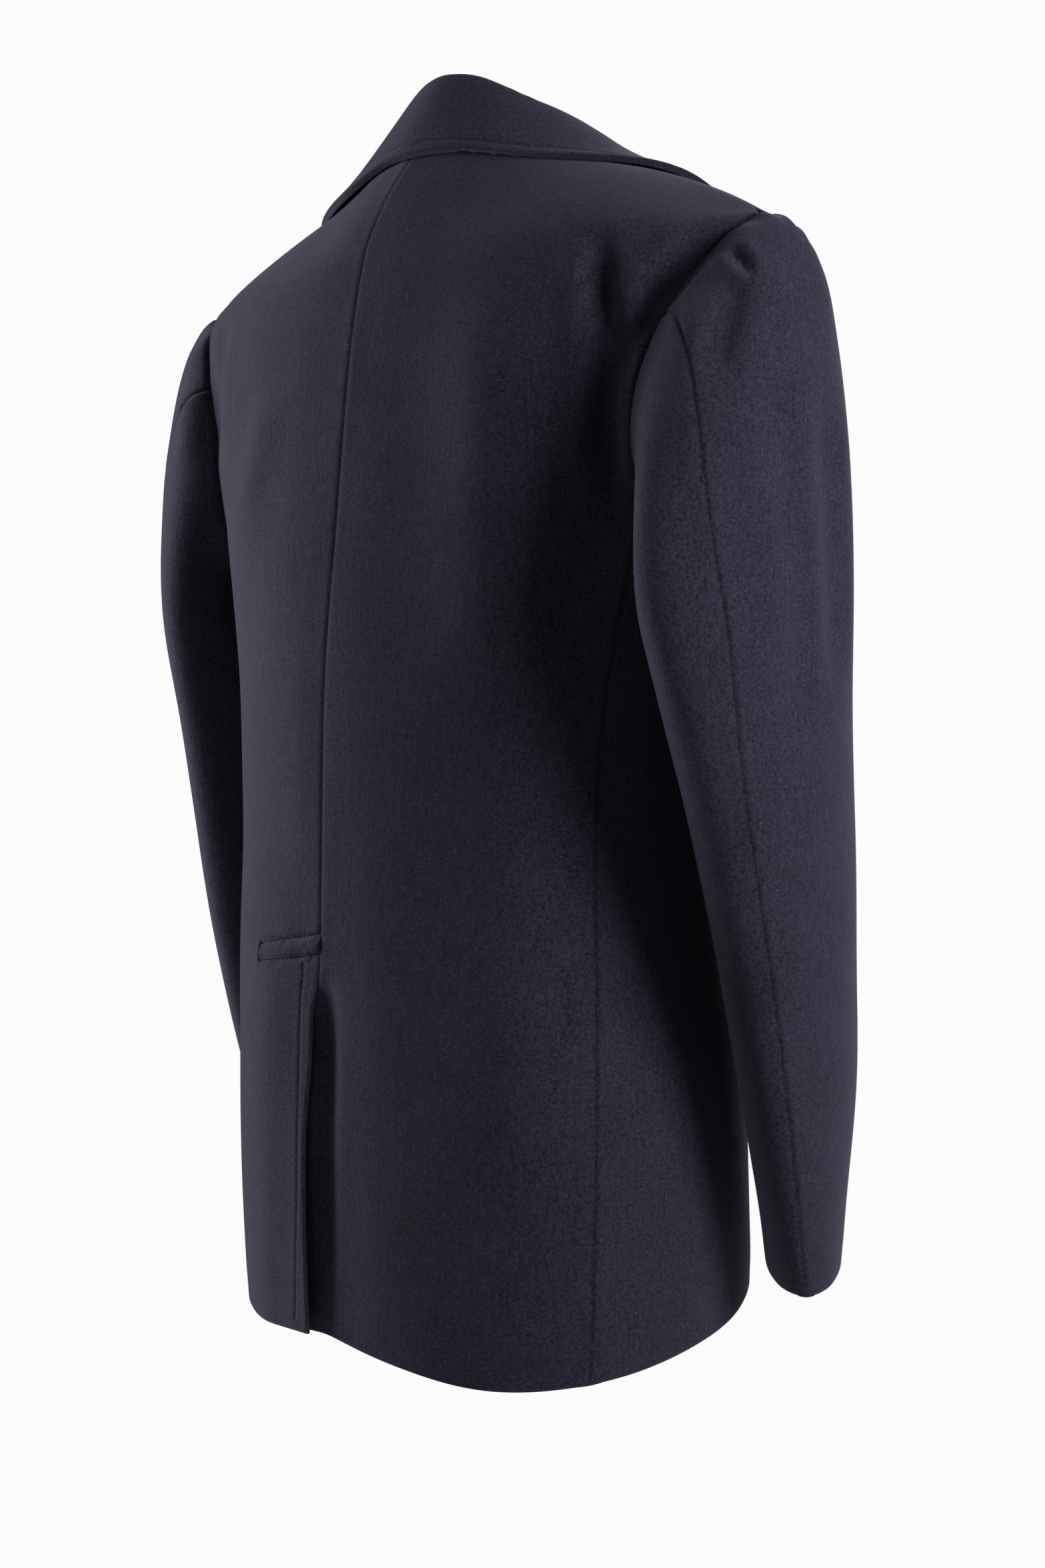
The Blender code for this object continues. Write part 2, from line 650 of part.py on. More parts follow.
def make_button(number, x, z, material, collection):
    """A dished button, turned about its own axis and laid on the left front."""
    angle, run = on_front(x, z)
    out = body_normal(LEFT, angle, run)
    at = body_point(LEFT, angle, run) + out * (front_lift(LEFT, angle, run) + SEAM_GAP)
    radius, depth = BUTTON_RADIUS, BUTTON_DEPTH
    profile = [
        (0, 0), (radius * 0.72, 0), (radius, depth * 0.45), (radius * 0.93, depth),
        (radius * 0.72, depth * 0.95), (radius * 0.6, depth * 0.6), (0, depth * 0.6),
    ]
    shape = bmesh.new()
    ring = [shape.verts.new((r * MM, 0, h * MM)) for r, h in profile]
    edges = [shape.edges.new(pair) for pair in zip(ring, ring[1:])]
    bmesh.ops.spin(
        shape, geom=ring + edges, axis=(0, 0, 1), cent=(0, 0, 0), dvec=(0, 0, 0),
        angle=math.tau, steps=BUTTON_SIDES, use_merge=True, use_duplicate=False,
    )
    bmesh.ops.remove_doubles(shape, verts=shape.verts[:], dist=1e-6)
    bmesh.ops.recalc_face_normals(shape, faces=shape.faces[:])
    part = add_part(f"button_{number}", shape, material, collection)
    part.rotation_mode = "QUATERNION"
    part.rotation_quaternion = out.to_track_quat("Z", "Y")
    part.location = at * MM
    return part


# The sleeves


def sleeve_ring(side, turn, height):
    row = smooth_row(SLEEVE_SECTIONS, "height", height)
    t, lean = math.radians(turn), math.radians(row.turn)
    across, along = row.half_short * math.cos(t), row.half_long * math.sin(t)
    out = row.out + across * math.cos(lean) + along * math.sin(lean)
    y = row.y - across * math.sin(lean) + along * math.cos(lean)
    forward = smooth_row(SLEEVE_FORWARD, "height", height)
    y -= forward.left if side == LEFT else forward.right
    return Vector((out * side + forward.across, y, height - row.tilt * math.sin(t)))


def sleeve_point(side, turn, down):
    """The outer face. down is 0 on the armhole, 1 at the table's first section and 2 at the cuff."""
    first, last = SLEEVE_SECTIONS[0].height, SLEEVE_SECTIONS[-1].height
    if down >= 1:
        return sleeve_ring(side, turn, first + (last - first) * (down - 1))
    angle, run = armhole(turn)
    edge = body_point(side, angle, run)
    out = body_normal(side, angle, run)
    middle = body_point(side, ARMHOLE_MIDDLE, (TIP_RUN + UNDERARM_RUN) / 2)
    inwards = middle - edge
    inwards = (inwards - out * inwards.dot(out)).normalized()
    start = edge + (out + inwards) * SEAM_GAP
    leave = (out * 0.4 + Vector((side, 0, 0)) * 0.8 - inwards * 0.45).normalized()
    pull = smooth_row(HEAD_PULLS, "turn", turn % 360)
    leave *= pull.left if side == LEFT else pull.right
    end = sleeve_ring(side, turn, first)
    arrive = (end - sleeve_ring(side, turn, first - 20)) / -20 * (end - start).length
    return hermite(start, end, leave, arrive, down)


def back_seam_turn(down):
    if down >= 1:
        first, last = SLEEVE_SECTIONS[0].height, SLEEVE_SECTIONS[-1].height
        return smooth_row(SLEEVE_SECTIONS, "height", first + (last - first) * (down - 1)).back_seam
    return ARMHOLE_BACK_SEAM + (SLEEVE_SECTIONS[0].back_seam - ARMHOLE_BACK_SEAM) * ease(down)


def make_sleeve_panel(name, side, seams, material, collection):
    """seams(down) gives the turns round the sleeve of the panel's two edges."""

    def place(i, j):
        down = i / CAP_ROWS if i <= CAP_ROWS else 1 + (i - CAP_ROWS) / ARM_ROWS
        start, end = seams(down)
        share = j / SLEEVE_COLUMNS
        turn = start + (end - start) * share
        step = (sleeve_point(side, turn + 0.5, down) - sleeve_point(side, turn - 0.5, down)).length
        turn += SLEEVE_SEAM_GAP / 2 / step * (1 - 2 * share)
        at = sleeve_point(side, turn, down)
        low, high = max(down - 0.02, 0.0), min(down + 0.02, 2.0)
        along = sleeve_point(side, turn, high) - sleeve_point(side, turn, low)
        around = sleeve_point(side, turn + 4, down) - sleeve_point(side, turn - 4, down)
        out = along.cross(around).normalized() * side
        return at, at - out * CLOTH

    rows = CAP_ROWS + ARM_ROWS
    return make_wall(f"{name}_{SIDE_NAMES[side]}", rows, SLEEVE_COLUMNS, place, material, collection)


def make_sleeve(side, material, collection):
    def top_seams(down):
        return FRONT_SEAM - 360, back_seam_turn(down)

    def under_seams(down):
        return back_seam_turn(down), FRONT_SEAM

    make_sleeve_panel("top_sleeve", side, top_seams, material, collection)
    make_sleeve_panel("under_sleeve", side, under_seams, material, collection)


def main():
    for old in list(bpy.data.objects):
        bpy.data.objects.remove(old)
    coat = bpy.data.collections.new("pea_coat")
    bpy.context.scene.collection.children.link(coat)
    melton = new_material("navy_melton", (0.012, 0.012, 0.022), 0.9)
    horn = new_material("dark_horn", (0.010, 0.009, 0.010), 0.35)
    make_back_left(melton, coat)
    make_back_right(melton, coat)
    for side in (LEFT, RIGHT):
        make_front(side, melton, coat)
        make_sleeve(side, melton, coat)
        make_welt(side, melton, coat)
    make_lapel(LEFT, LAPEL_START, LAPEL_START, melton, coat)
    make_lapel(RIGHT, *RIGHT_LAPEL_STARTS, melton, coat)
    make_collar(melton, coat)
    number = 1
    for z in BUTTON_ROWS:
        for x in BUTTON_COLUMNS:
            make_button(number, x, z, horn, coat)
            number += 1


main()
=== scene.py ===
# %% [markdown]
# # A pea coat of wool melton
# The coat is a few large pieces of thick felted wool, sewn edge to edge over the shoulders, arms
# and back. The measured solids of each piece are loaded first, as a frame that never moves. Every
# piece that is made below is laid on one of them, so the coat keeps its real size.

# %% Load the frame
import math

import bmesh
import bpy
import numpy as np
from mathutils import Matrix, Vector, kdtree, noise
from mathutils.bvhtree import BVHTree


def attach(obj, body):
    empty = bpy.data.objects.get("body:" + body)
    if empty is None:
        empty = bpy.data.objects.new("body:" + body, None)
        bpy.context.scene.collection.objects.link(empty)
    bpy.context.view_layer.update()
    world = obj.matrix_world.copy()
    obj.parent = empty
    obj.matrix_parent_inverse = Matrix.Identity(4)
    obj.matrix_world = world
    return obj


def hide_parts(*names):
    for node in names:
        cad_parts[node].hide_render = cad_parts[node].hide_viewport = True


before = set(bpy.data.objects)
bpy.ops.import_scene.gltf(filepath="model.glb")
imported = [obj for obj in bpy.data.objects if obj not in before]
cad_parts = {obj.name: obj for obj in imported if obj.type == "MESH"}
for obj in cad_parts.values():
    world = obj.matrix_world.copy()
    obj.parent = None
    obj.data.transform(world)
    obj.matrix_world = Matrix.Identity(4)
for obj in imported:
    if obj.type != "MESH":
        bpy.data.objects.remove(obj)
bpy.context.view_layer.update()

MM = 0.001
scene = bpy.context.scene
print("nodes:", ", ".join(sorted(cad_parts)))

# %% [markdown]
# A coat on a stand is looked at from chest height, with a long lens, so its edges stay straight.
# The camera comes first, because folds and light are judged through it.

# %% Camera
CAMERA_PLACE = (-1.1395, 1.2620, -0.3850)
CAMERA_TURN = math.radians(221)
CAMERA_LENS, CAMERA_SENSOR, CAMERA_SHIFT = 60.6, 36, 0.0017
CAMERA_NEAR, CAMERA_FAR = 0.01, 100

camera_data = bpy.data.cameras.new("camera")
camera_data.sensor_width = CAMERA_SENSOR
camera_data.lens = CAMERA_LENS
camera_data.shift_y = CAMERA_SHIFT
camera_data.clip_start, camera_data.clip_end = CAMERA_NEAR, CAMERA_FAR
camera = bpy.data.objects.new("camera", camera_data)
camera.location = CAMERA_PLACE
camera.rotation_euler = (math.pi / 2, 0, CAMERA_TURN)
scene.collection.objects.link(camera)
scene.camera = camera
print("lens", CAMERA_LENS, "mm")

# %% [markdown]
# Each solid is a closed wall: a face side, a lining side and a narrow rim. Only the face side is
# needed, because a thin sheet is easier to bend and crease, and it gets its thickness back at the
# end. A flood fill that stops at sharp edges finds it: the face side is the larger of the two.

# %% Take the face side of a solid
SHARP = math.radians(60)
MERGE = 0.00001
PAIR_ANGLE, PAIR_SHAPE = math.radians(60), math.radians(80)


def face_side(node):
    """A bmesh of one CAD piece's face side, in quads where its triangles pair up."""
    mesh = bmesh.new()
    mesh.from_mesh(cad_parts[node].data)
    bmesh.ops.remove_doubles(mesh, verts=mesh.verts[:], dist=MERGE)
    mesh.faces.ensure_lookup_table()
    seen, patches = set(), []
    for first in mesh.faces:
        if first in seen:
            continue
        patch = [first]
        seen.add(first)
        for face in patch:
            for edge in face.edges:
                if len(edge.link_faces) != 2 or edge.calc_face_angle(0) > SHARP:
                    continue
                for other in edge.link_faces:
                    if other not in seen:
                        seen.add(other)
                        patch.append(other)
        patches.append(patch)
    largest = max(patches, key=lambda patch: sum(face.calc_area() for face in patch))
    keep = set(largest)
    bmesh.ops.delete(mesh, geom=[f for f in mesh.faces if f not in keep], context="FACES")
    bmesh.ops.join_triangles(
        mesh, faces=mesh.faces[:],
        angle_face_threshold=PAIR_ANGLE, angle_shape_threshold=PAIR_SHAPE,
    )
    return mesh


def new_object(name, mesh):
    """An object at the origin from a bmesh."""
    data = bpy.data.meshes.new(name)
    mesh.to_mesh(data)
    mesh.free()
    piece = bpy.data.objects.new(name, data)
    scene.collection.objects.link(piece)
    return piece


def apply_modifiers(piece):
    """Swaps a piece's mesh for what its modifiers make of it."""
    shaped = bpy.data.meshes.new_from_object(
        piece.evaluated_get(bpy.context.evaluated_depsgraph_get())
    )
    plain = piece.data
    piece.modifiers.clear()
    piece.data = shaped
    bpy.data.meshes.remove(plain)


# %% [markdown]
# Smoothing turns the coarse panel into soft cloth. Three levels give the large panels cells of
# about three millimetres, fine enough for a crease, and two do the same for the small pieces, whose
# solids have smaller faces. Beside the edges, where seams pull the cloth in, each cell is cut in
# three. The backs turn forward sharply at the shoulder blades, so they are eased there first.

# %% Smooth each panel
SMOOTH_LEVELS, SMALL_PIECE_LEVELS = 3, 2
BAND_CUTS = 2
BLADE_LOW, BLADE_BACK, BLADE_PASSES, BLADE_PULL = -0.16, 0.02, 4, 0.5
LARGE_PIECES = (
    "back_left", "back_right", "front_left", "front_right",
    "top_sleeve_left", "top_sleeve_right", "under_sleeve_left", "under_sleeve_right",
)
SMALL_PIECES = ("collar", "lapel_left", "lapel_right", "pocket_welt_left", "pocket_welt_right")
PANELS = LARGE_PIECES + SMALL_PIECES


def soften_blades(mesh):
    """Rounds the step where the back turns forward, away from the panel's edges."""
    inner = [
        v for v in mesh.verts
        if v.co.z > BLADE_LOW and v.co.y > BLADE_BACK and not v.is_boundary
    ]
    for _ in range(BLADE_PASSES):
        bmesh.ops.smooth_vert(
            mesh, verts=inner, factor=BLADE_PULL, use_axis_x=True, use_axis_y=True, use_axis_z=True,
        )


def smooth_panel(node):
    """A fine sheet over one CAD piece, with narrow cells along its edges."""
    mesh = face_side(node)
    if node in ("back_left", "back_right"):
        soften_blades(mesh)
    piece = new_object(node + "_cloth", mesh)
    smoother = piece.modifiers.new("smooth", "SUBSURF")
    levels = SMALL_PIECE_LEVELS if node in SMALL_PIECES else SMOOTH_LEVELS
    smoother.levels = smoother.render_levels = levels
    smoother.boundary_smooth = "PRESERVE_CORNERS"
    apply_modifiers(piece)
    mesh = bmesh.new()
    mesh.from_mesh(piece.data)
    band = [
        edge for edge in mesh.edges
        if not edge.is_boundary and edge.verts[0].is_boundary != edge.verts[1].is_boundary
    ]
    bmesh.ops.subdivide_edges(mesh, edges=band, cuts=BAND_CUTS, use_grid_fill=True)
    mesh.to_mesh(piece.data)
    mesh.free()
    return piece


cloth = {node: smooth_panel(node) for node in PANELS}
for node, piece in cloth.items():
    print(node, len(piece.data.polygons), "faces")

# %% [markdown]
# The creases are listed one by one. Each is a line over the coat with its own width, depth and
# direction, pushed in as a soft trough with a low shoulder on each side. A negative depth makes a
# ridge. It fades in and out over the first and last part of its line. All the pieces that a crease
# crosses move the same way, so the seams stay shut.

# %% Points and creases
def get_points(piece):
    points = np.empty(len(piece.data.vertices) * 3)
    piece.data.vertices.foreach_get("co", points)
    return points.reshape(-1, 3)


def get_normals(piece):
    normals = np.empty(len(piece.data.vertices) * 3)
    piece.data.vertex_normals.foreach_get("vector", normals)
    return normals.reshape(-1, 3)


def set_points(piece, points):
    piece.data.vertices.foreach_set("co", points.ravel())
    piece.data.update()


def ease(share):
    share = np.clip(share, 0, 1)
    return share * share * (3 - 2 * share)


def line_distance(points, line):
    """Distance of each point from a polyline, and the share of it passed at the nearest place."""
    lengths = np.linalg.norm(line[1:] - line[:-1], axis=1)
    starts = np.concatenate([[0], np.cumsum(lengths)])
    best = np.full(len(points), np.inf)
    along = np.zeros(len(points))
    for i, length in enumerate(lengths):
        step = line[i + 1] - line[i]
        t = np.clip((points - line[i]) @ step / (length * length), 0, 1)
        away = np.linalg.norm(points - line[i] - t[:, None] * step, axis=1)
        nearer = away < best
        best[nearer] = away[nearer]
        along[nearer] = (starts[i] + t[nearer] * length) / starts[-1]
    return best, along


CREASE_FADE = 0.3
SHOULDER, SHOULDER_PLACE = 0.35, 1.9
# name, towards (degrees from the wearer's left towards the back), width, depth, points in mm
CREASES = (
    ("back_armhole_right", 112, 9, 11.0, (
        (-160, 76, -40), (-164, 74, -72), (-167, 73, -98), (-167, 73, -130), (-166, 71, -165),
        (-169, 67, -235),
    )),
    ("back_slant_right", 115, 9, 8.0, (
        (-232, 36, -56), (-212, 44, -78), (-193, 58, -99), (-181, 67, -126), (-174, 70, -165),
    )),
    ("back_fold_right", 115, 8, -3.5, (
        (-206, 50, -72), (-190, 62, -95), (-184, 65, -128), (-183, 65, -170),
    )),
    ("blade_right", 100, 28, 3.0, (
        (-150, 82, -60), (-158, 82, -160), (-160, 76, -260), (-154, 72, -370),
    )),
    ("back_rise_right", 92, 32, -5.0, (
        (-88, 96, -60), (-102, 102, -150), (-110, 102, -260), (-108, 100, -360),
    )),
    ("flap_turn", 80, 40, -5.5, (
        (84, 104, -440), (88, 106, -540), (90, 107, -680), (90, 107, -830),
    )),
    ("back_low_right", 98, 34, -4.5, (
        (-118, 94, -290), (-124, 95, -400), (-126, 96, -520), (-124, 97, -660),
    )),
    ("head_dimple_right", 135, 4.5, 5.5, (
        (-238, 45, -74), (-244, 46, -80), (-250, 47, -87), (-259, 47, -95),
    )),
    ("head_drag_right", 130, 9, 5.0, (
        (-238, 54, -88), (-250, 58, -105), (-251, 67, -126), (-248, 76, -160),
    )),
    ("sleeve_dip_right", 150, 14, 3.5, (
        (-268, 44, -120), (-272, 38, -170), (-273, 30, -215), (-272, 19, -278), (-268, 16, -370),
    )),
    ("sleeve_hollow_right", 178, 16, 5.0, ((-274, 2, -140), (-272, -10, -238), (-266, -28, -340))),
    ("back_armhole_left", 68, 13, 3.6, (
        (164, 74, -62), (169, 72, -98), (173, 70, -134), (172, 67, -176),
    )),
    ("back_slant_left", 65, 9, 2.6, (
        (214, 44, -64), (200, 54, -84), (187, 62, -108), (178, 68, -140),
    )),
    ("blade_left", 84, 20, 1.8, (
        (104, 100, -112), (113, 99, -150), (122, 97, -180), (136, 88, -215),
    )),
    ("back_rise_left", 76, 16, -1.2, ((86, 102, -130), (96, 103, -175), (110, 100, -220))),
    ("head_dimple_left", 45, 5, 2.2, ((238, 45, -74), (246, 46, -82), (256, 46, -92))),
    ("sleeve_rise_left", 24, 15, -2.4, ((270, 40, -150), (272, 30, -215), (270, 19, -290))),
    ("sleeve_hollow_left", 4, 17, 2.6, ((272, 0, -150), (270, -14, -245), (262, -30, -350))),
)


def crease(piece, towards, width, depth, line, shoulder=SHOULDER):
    """Pushes a trough, or a ridge if the depth is negative, into a sheet along a line."""
    points = get_points(piece)
    away, along = line_distance(points, np.array(line) * MM)
    away = away / (width * MM)
    fade = ease(along / CREASE_FADE) * ease((1 - along) / CREASE_FADE)
    dip = -np.exp(-away ** 2) + shoulder * np.exp(-(away - SHOULDER_PLACE) ** 2)
    turn = math.radians(towards)
    direction = np.array((math.cos(turn), math.sin(turn), 0))
    set_points(piece, points + (dip * fade * depth * MM)[:, None] * direction)


for name, towards, width, depth, line in CREASES:
    for node in LARGE_PIECES:
        crease(cloth[node], towards, width, depth, line)
    print("crease:", name)

# %% [markdown]
# The vent's flap hangs free below its bar. Its edge draws a little towards the wearer's left there,
# so a dark gap opens beside it. The draw starts gently, because the underlap behind it is narrow at
# the top, and a flap drawn past its edge would leave a hole right through the back.

# %% Open the vent
FLAP_TOP, FLAP_EASE, FLAP_FOOT, FLAP_FADE = -0.487, 0.048, -0.575, 0.075
FLAP_DRAW, FLAP_REACH = 6.0, 0.020
VENT_MIDDLE = 0.019
HOLLOW_TOWARDS, HOLLOW_WIDTH, HOLLOW_DEPTH = 95, 8.5, 6.0
VENT_HOLLOW = ((15, 115, -478), (17, 115, -505), (18, 116, -560), (20, 116, -640), (23, 114, -735))


def open_vent(piece):
    points = get_points(piece)
    beside = ease(1 - (points[:, 0] - VENT_MIDDLE) / FLAP_REACH)
    below = ease((FLAP_TOP - points[:, 2]) / FLAP_EASE)
    above = ease((points[:, 2] - FLAP_FOOT) / FLAP_FADE)
    behind = points[:, 1] > 0
    points[:, 0] += FLAP_DRAW * MM * beside * (below * above) * behind
    set_points(piece, points)


open_vent(cloth["back_left"])
crease(cloth["back_right"], HOLLOW_TOWARDS, HOLLOW_WIDTH, HOLLOW_DEPTH, VENT_HOLLOW, shoulder=0)
print("flap drawn back by", FLAP_DRAW, "mm")

# %% [markdown]
# Where two pieces are sewn together, an edge point has another piece's edge close to it. The other
# edges, such as the hem, the cuffs and the fronts, are turned edges. The lapels and pocket welts
# are sewn flat on top of the fronts, so they have no seams of this kind. The two edges of each seam
# are then brought together, and the cloth beside them follows.

# %% Find the seams
SEAM_REACH = 3.2
CLOSE_REACH = 22
FAR = 1.0  # stands for the distance of a target where there is none
SEWN_ON = {"lapel_left", "lapel_right", "pocket_welt_left", "pocket_welt_right"}


def tree_of(points):
    tree = kdtree.KDTree(len(points))
    for i, point in enumerate(points):
        tree.insert(point, i)
    tree.balance()
    return tree


def edge_samples(piece):
    """Places and normals along a piece's edge, dense enough for any neighbour to find one."""
    mesh = bmesh.new()
    mesh.from_mesh(piece.data)
    places, normals = [], []
    for edge in mesh.edges:
        if edge.is_boundary:
            first, last = edge.verts
            for share in (0, 0.25, 0.5, 0.75, 1):
                places.append(first.co.lerp(last.co, share))
                normals.append(first.normal.lerp(last.normal, share))
    mesh.free()
    return places, normals


def find_seams():
    """For each piece: its seam places, the way to the seam's middle, and the seam's normal."""
    edges = {node: edge_samples(cloth[node]) for node in PANELS}
    seams = {}
    for node in PANELS:
        places, ways, facing = [], [], []
        if node not in SEWN_ON:
            others = [other for other in PANELS if other != node and other not in SEWN_ON]
            tree = tree_of([p for other in others for p in edges[other][0]])
            other_normals = [n for other in others for n in edges[other][1]]
            for place, normal in zip(*edges[node]):
                found, i, away = tree.find(place)
                if away < SEAM_REACH * MM:
                    places.append(place)
                    ways.append((found - place) / 2)
                    facing.append((normal + other_normals[i]).normalized())
        seams[node] = places, np.array(ways), np.array(facing)
    return edges, seams


def nearest(points, targets):
    """The distance of each point from the nearest target, and which one that is."""
    if not targets:
        return np.full(len(points), FAR), np.zeros(len(points), int)
    tree = tree_of(targets)
    found = [tree.find(p) for p in points]
    return np.array([f[2] for f in found]), np.array([f[1] for f in found])


def close_seams():
    for node, (places, ways, _) in find_seams()[1].items():
        if places:
            points = get_points(cloth[node])
            away, which = nearest(points, places)
            pull = ease(1 - away / (CLOSE_REACH * MM))
            set_points(cloth[node], points + ways[which] * pull[:, None])


close_seams()
edges_of, seams_of = find_seams()
for node in PANELS:
    print(node, len(seams_of[node][0]), "seam places of", len(edges_of[node][0]))

# %% [markdown]
# Both edges of a seam dive a little way in, and a fine valley shows. The valley is also kept on
# the sheet's points as painted shade, which darkens the wool there. No cloth lies quite true, so a
# slow, small waviness is laid over each panel, and it dies away at the edges so that neighbours
# still meet. Round the top of each sleeve the extra length that is eased in makes short puckers.

# %% Waviness, seam valleys and their painted shade
SEAM_WIDTH, SEAM_STOP = 1.6, 16
SEAM_DEPTH, SLEEVE_SEAM_DEPTH = 0.7, 1.1
ROUND_EDGE, ROUND_REACH = 0.7, 0.8  # how far the last row of a turned edge rolls inwards
WAVE_SIZE, WAVE_DEPTH, WAVE_EDGE, WAVE_RISE = 60, 1.3, 24, 0.6
PUCKER_STEP, PUCKER_REACH, PUCKER_DEPTH = 15, 13, 1.0
PUCKER_PLACE, PUCKER_CLEAR = 5, 3  # from the seam: where puckers are deepest, and where they start
PUCKER_LOW, PUCKER_FADE = -0.15, 0.04
PUCKER_BACK, PUCKER_UP = 1.1, 0.5  # how fast the puckers follow each other, backwards and upwards


def waviness(points):
    scaled = points / (WAVE_SIZE * MM)
    return np.array([noise.noise(Vector((p[0], p[1], p[2] * WAVE_RISE))) for p in scaled])


def free_edge(node):
    """The places on a piece's edge that belong to no seam."""
    places = edges_of[node][0]
    if not seams_of[node][0]:
        return places
    away = nearest(places, seams_of[node][0])[0]
    return [place for place, gap in zip(places, away) if gap > SEAM_REACH * MM]


def store(piece, name, values):
    """Keeps one value for each point of a sheet, for its material to read."""
    old = piece.data.attributes.get(name)
    if old:
        piece.data.attributes.remove(old)
    kept = piece.data.attributes.new(name, "FLOAT", "POINT")
    kept.data.foreach_set("value", np.asarray(values, np.float32))


def puckers(points, to_seam):
    """How far the eased-in cloth of a sleeve's head stands out beside its seam."""
    near = np.exp(-((to_seam / MM - PUCKER_PLACE) / PUCKER_REACH) ** 2)
    near = near * ease((points[:, 2] - PUCKER_LOW) / PUCKER_FADE)
    run = (points[:, 1] * PUCKER_BACK + points[:, 2] * PUCKER_UP) / (PUCKER_STEP * MM)
    return np.sin(run * math.tau) * PUCKER_DEPTH * near * ease(to_seam / (PUCKER_CLEAR * MM))


free_edges = {node: free_edge(node) for node in PANELS}
for node, piece in cloth.items():
    places, _, facing = seams_of[node]
    points, normals = get_points(piece), get_normals(piece)
    to_edge = nearest(points, edges_of[node][0])[0]
    to_seam, which = nearest(points, places)
    to_free = nearest(points, free_edges[node])[0]
    lift = waviness(points) * WAVE_DEPTH * ease(to_edge / (WAVE_EDGE * MM))
    if "sleeve" in node:
        lift += puckers(points, to_seam)
    valley = np.exp(-((to_seam / MM) / SEAM_WIDTH) ** 2) * ease(to_free / (SEAM_STOP * MM))
    if places:
        normals = normals + (facing[which] - normals) * valley[:, None]
    seam_depth = SLEEVE_SEAM_DEPTH if "sleeve" in node else SEAM_DEPTH
    lift -= valley * seam_depth + ROUND_EDGE * np.exp(-(to_free / MM / ROUND_REACH) ** 2)
    set_points(piece, points + normals * (lift * MM)[:, None])
    # painted shade: the valley's depth is kept, and the wool is darkened by it along the seam
    store(piece, "seam", valley)
print("valleys", SEAM_DEPTH, "and", SLEEVE_SEAM_DEPTH, "mm deep")

# %% [markdown]
# The topstitching holds the edges flat. A row of stitches pulls a narrow groove into the thick
# wool, and the cloth swells a little on both sides of it. Most rows follow an edge at an even
# distance, so they are found by stepping in from the edge. The rows on the back vent are given by
# points instead: one runs down beside the flap's edge, and one goes round the bar that closes the
# vent's top.

# %% Find the rows of stitches
# piece, distance from the edge, how upright the edge has to be, clear of other edges by, depth
EDGE_ROWS = (
    ("collar", 7.5, 0.0, 6.5, 0.3),
    ("lapel_left", 7.5, 0.0, 6.5, 0.6), ("lapel_right", 7.5, 0.0, 6.5, 0.6),
    ("front_left", 7.5, 0.8, 0.0, 0.6), ("front_right", 7.5, 0.8, 0.0, 0.6),
    ("pocket_welt_left", 5.0, 0.0, 0.0, 0.6), ("pocket_welt_right", 5.0, 0.0, 0.0, 0.6),
)
ROW_TRUE = 0.8  # where an edge turns a corner, a point this much too near it is left out
VENT_ROW = (
    (38, 115, -495), (38.5, 117, -526), (39, 118, -575), (39, 119, -641), (43, 116, -704),
    (44, 115, -716),
)
BAR_TOP, BAR_LOW, BAR_END = (23, 116, -476), (22, 116, -488), (82, 105, -490)
BAR_MIDDLE = (52, 113, -486)
BAR_ROW = (
    BAR_TOP, (52, 113, -480), (85, 104.5, -484.5), (86, 104, -490), (85, 104.5, -495.5),
    (51, 113, -492), BAR_LOW,
)
BAR_RISE, BAR_HALF, BAR_SLOPE = 1.6, 6.0, 3.5
CHAIN_LEAST = 12  # a chain of fewer points is too short for a row
CHAIN_SIDE = 2  # points on each side that give an edge's direction


def edge_chains(piece, sewn, clear, upright):
    """Chains of points along the free edge of a piece, each with its way into the piece."""
    mesh = bmesh.new()
    mesh.from_mesh(piece.data)
    mesh.verts.ensure_lookup_table()
    rim = [v for v in mesh.verts if v.is_boundary]
    away = nearest([v.co for v in rim], sewn)[0]
    free = {v for v, gap in zip(rim, away) if gap > max(clear, SEAM_REACH) * MM}
    steps = {}
    for edge in mesh.edges:
        first, last = edge.verts
        if edge.is_boundary and first in free and last in free:
            if abs((last.co - first.co).normalized().z) >= upright:
                steps.setdefault(first, []).append(last)
                steps.setdefault(last, []).append(first)
    chains, seen = [], set()
    for start in sorted(steps, key=lambda v: (len(steps[v]), v.index)):
        if start in seen:
            continue
        chain = [start]
        seen.add(start)
        while True:
            onward = [v for v in steps[chain[-1]] if v not in seen]
            if not onward:
                break
            chain.append(onward[0])
            seen.add(onward[0])
        if len(chain) > CHAIN_LEAST:
            beside = chain[0].link_faces
            middle = sum((f.calc_center_median() for f in beside), Vector()) / len(beside)
            way = chain[0].normal.cross(chain[1].co - chain[0].co).normalized()
            side = 1 if way.dot(middle - chain[0].co) > 0 else -1
            row = []
            for i, vert in enumerate(chain):
                onward = chain[min(i + CHAIN_SIDE, len(chain) - 1)]
                along = onward.co - chain[max(i - CHAIN_SIDE, 0)].co
                row.append((vert.co.copy(), vert.normal.cross(along).normalized() * side))
            chains.append(row)
    mesh.free()
    return chains


def surface_of(piece):
    mesh = bmesh.new()
    mesh.from_mesh(piece.data)
    tree = BVHTree.FromBMesh(mesh)
    mesh.free()
    return tree


def even_row(points, step):
    """Points at even steps along a line."""
    points = np.array(points, float)
    gaps = np.linalg.norm(points[1:] - points[:-1], axis=1)
    run = np.concatenate([[0], np.cumsum(gaps)])
    where = np.linspace(0, run[-1], max(int(run[-1] / step) + 1, 2))
    return np.stack([np.interp(where, run, points[:, k]) for k in range(3)], axis=1)


def on_surface(tree, points):
    return [tree.find_nearest(Vector(p))[0] for p in points]


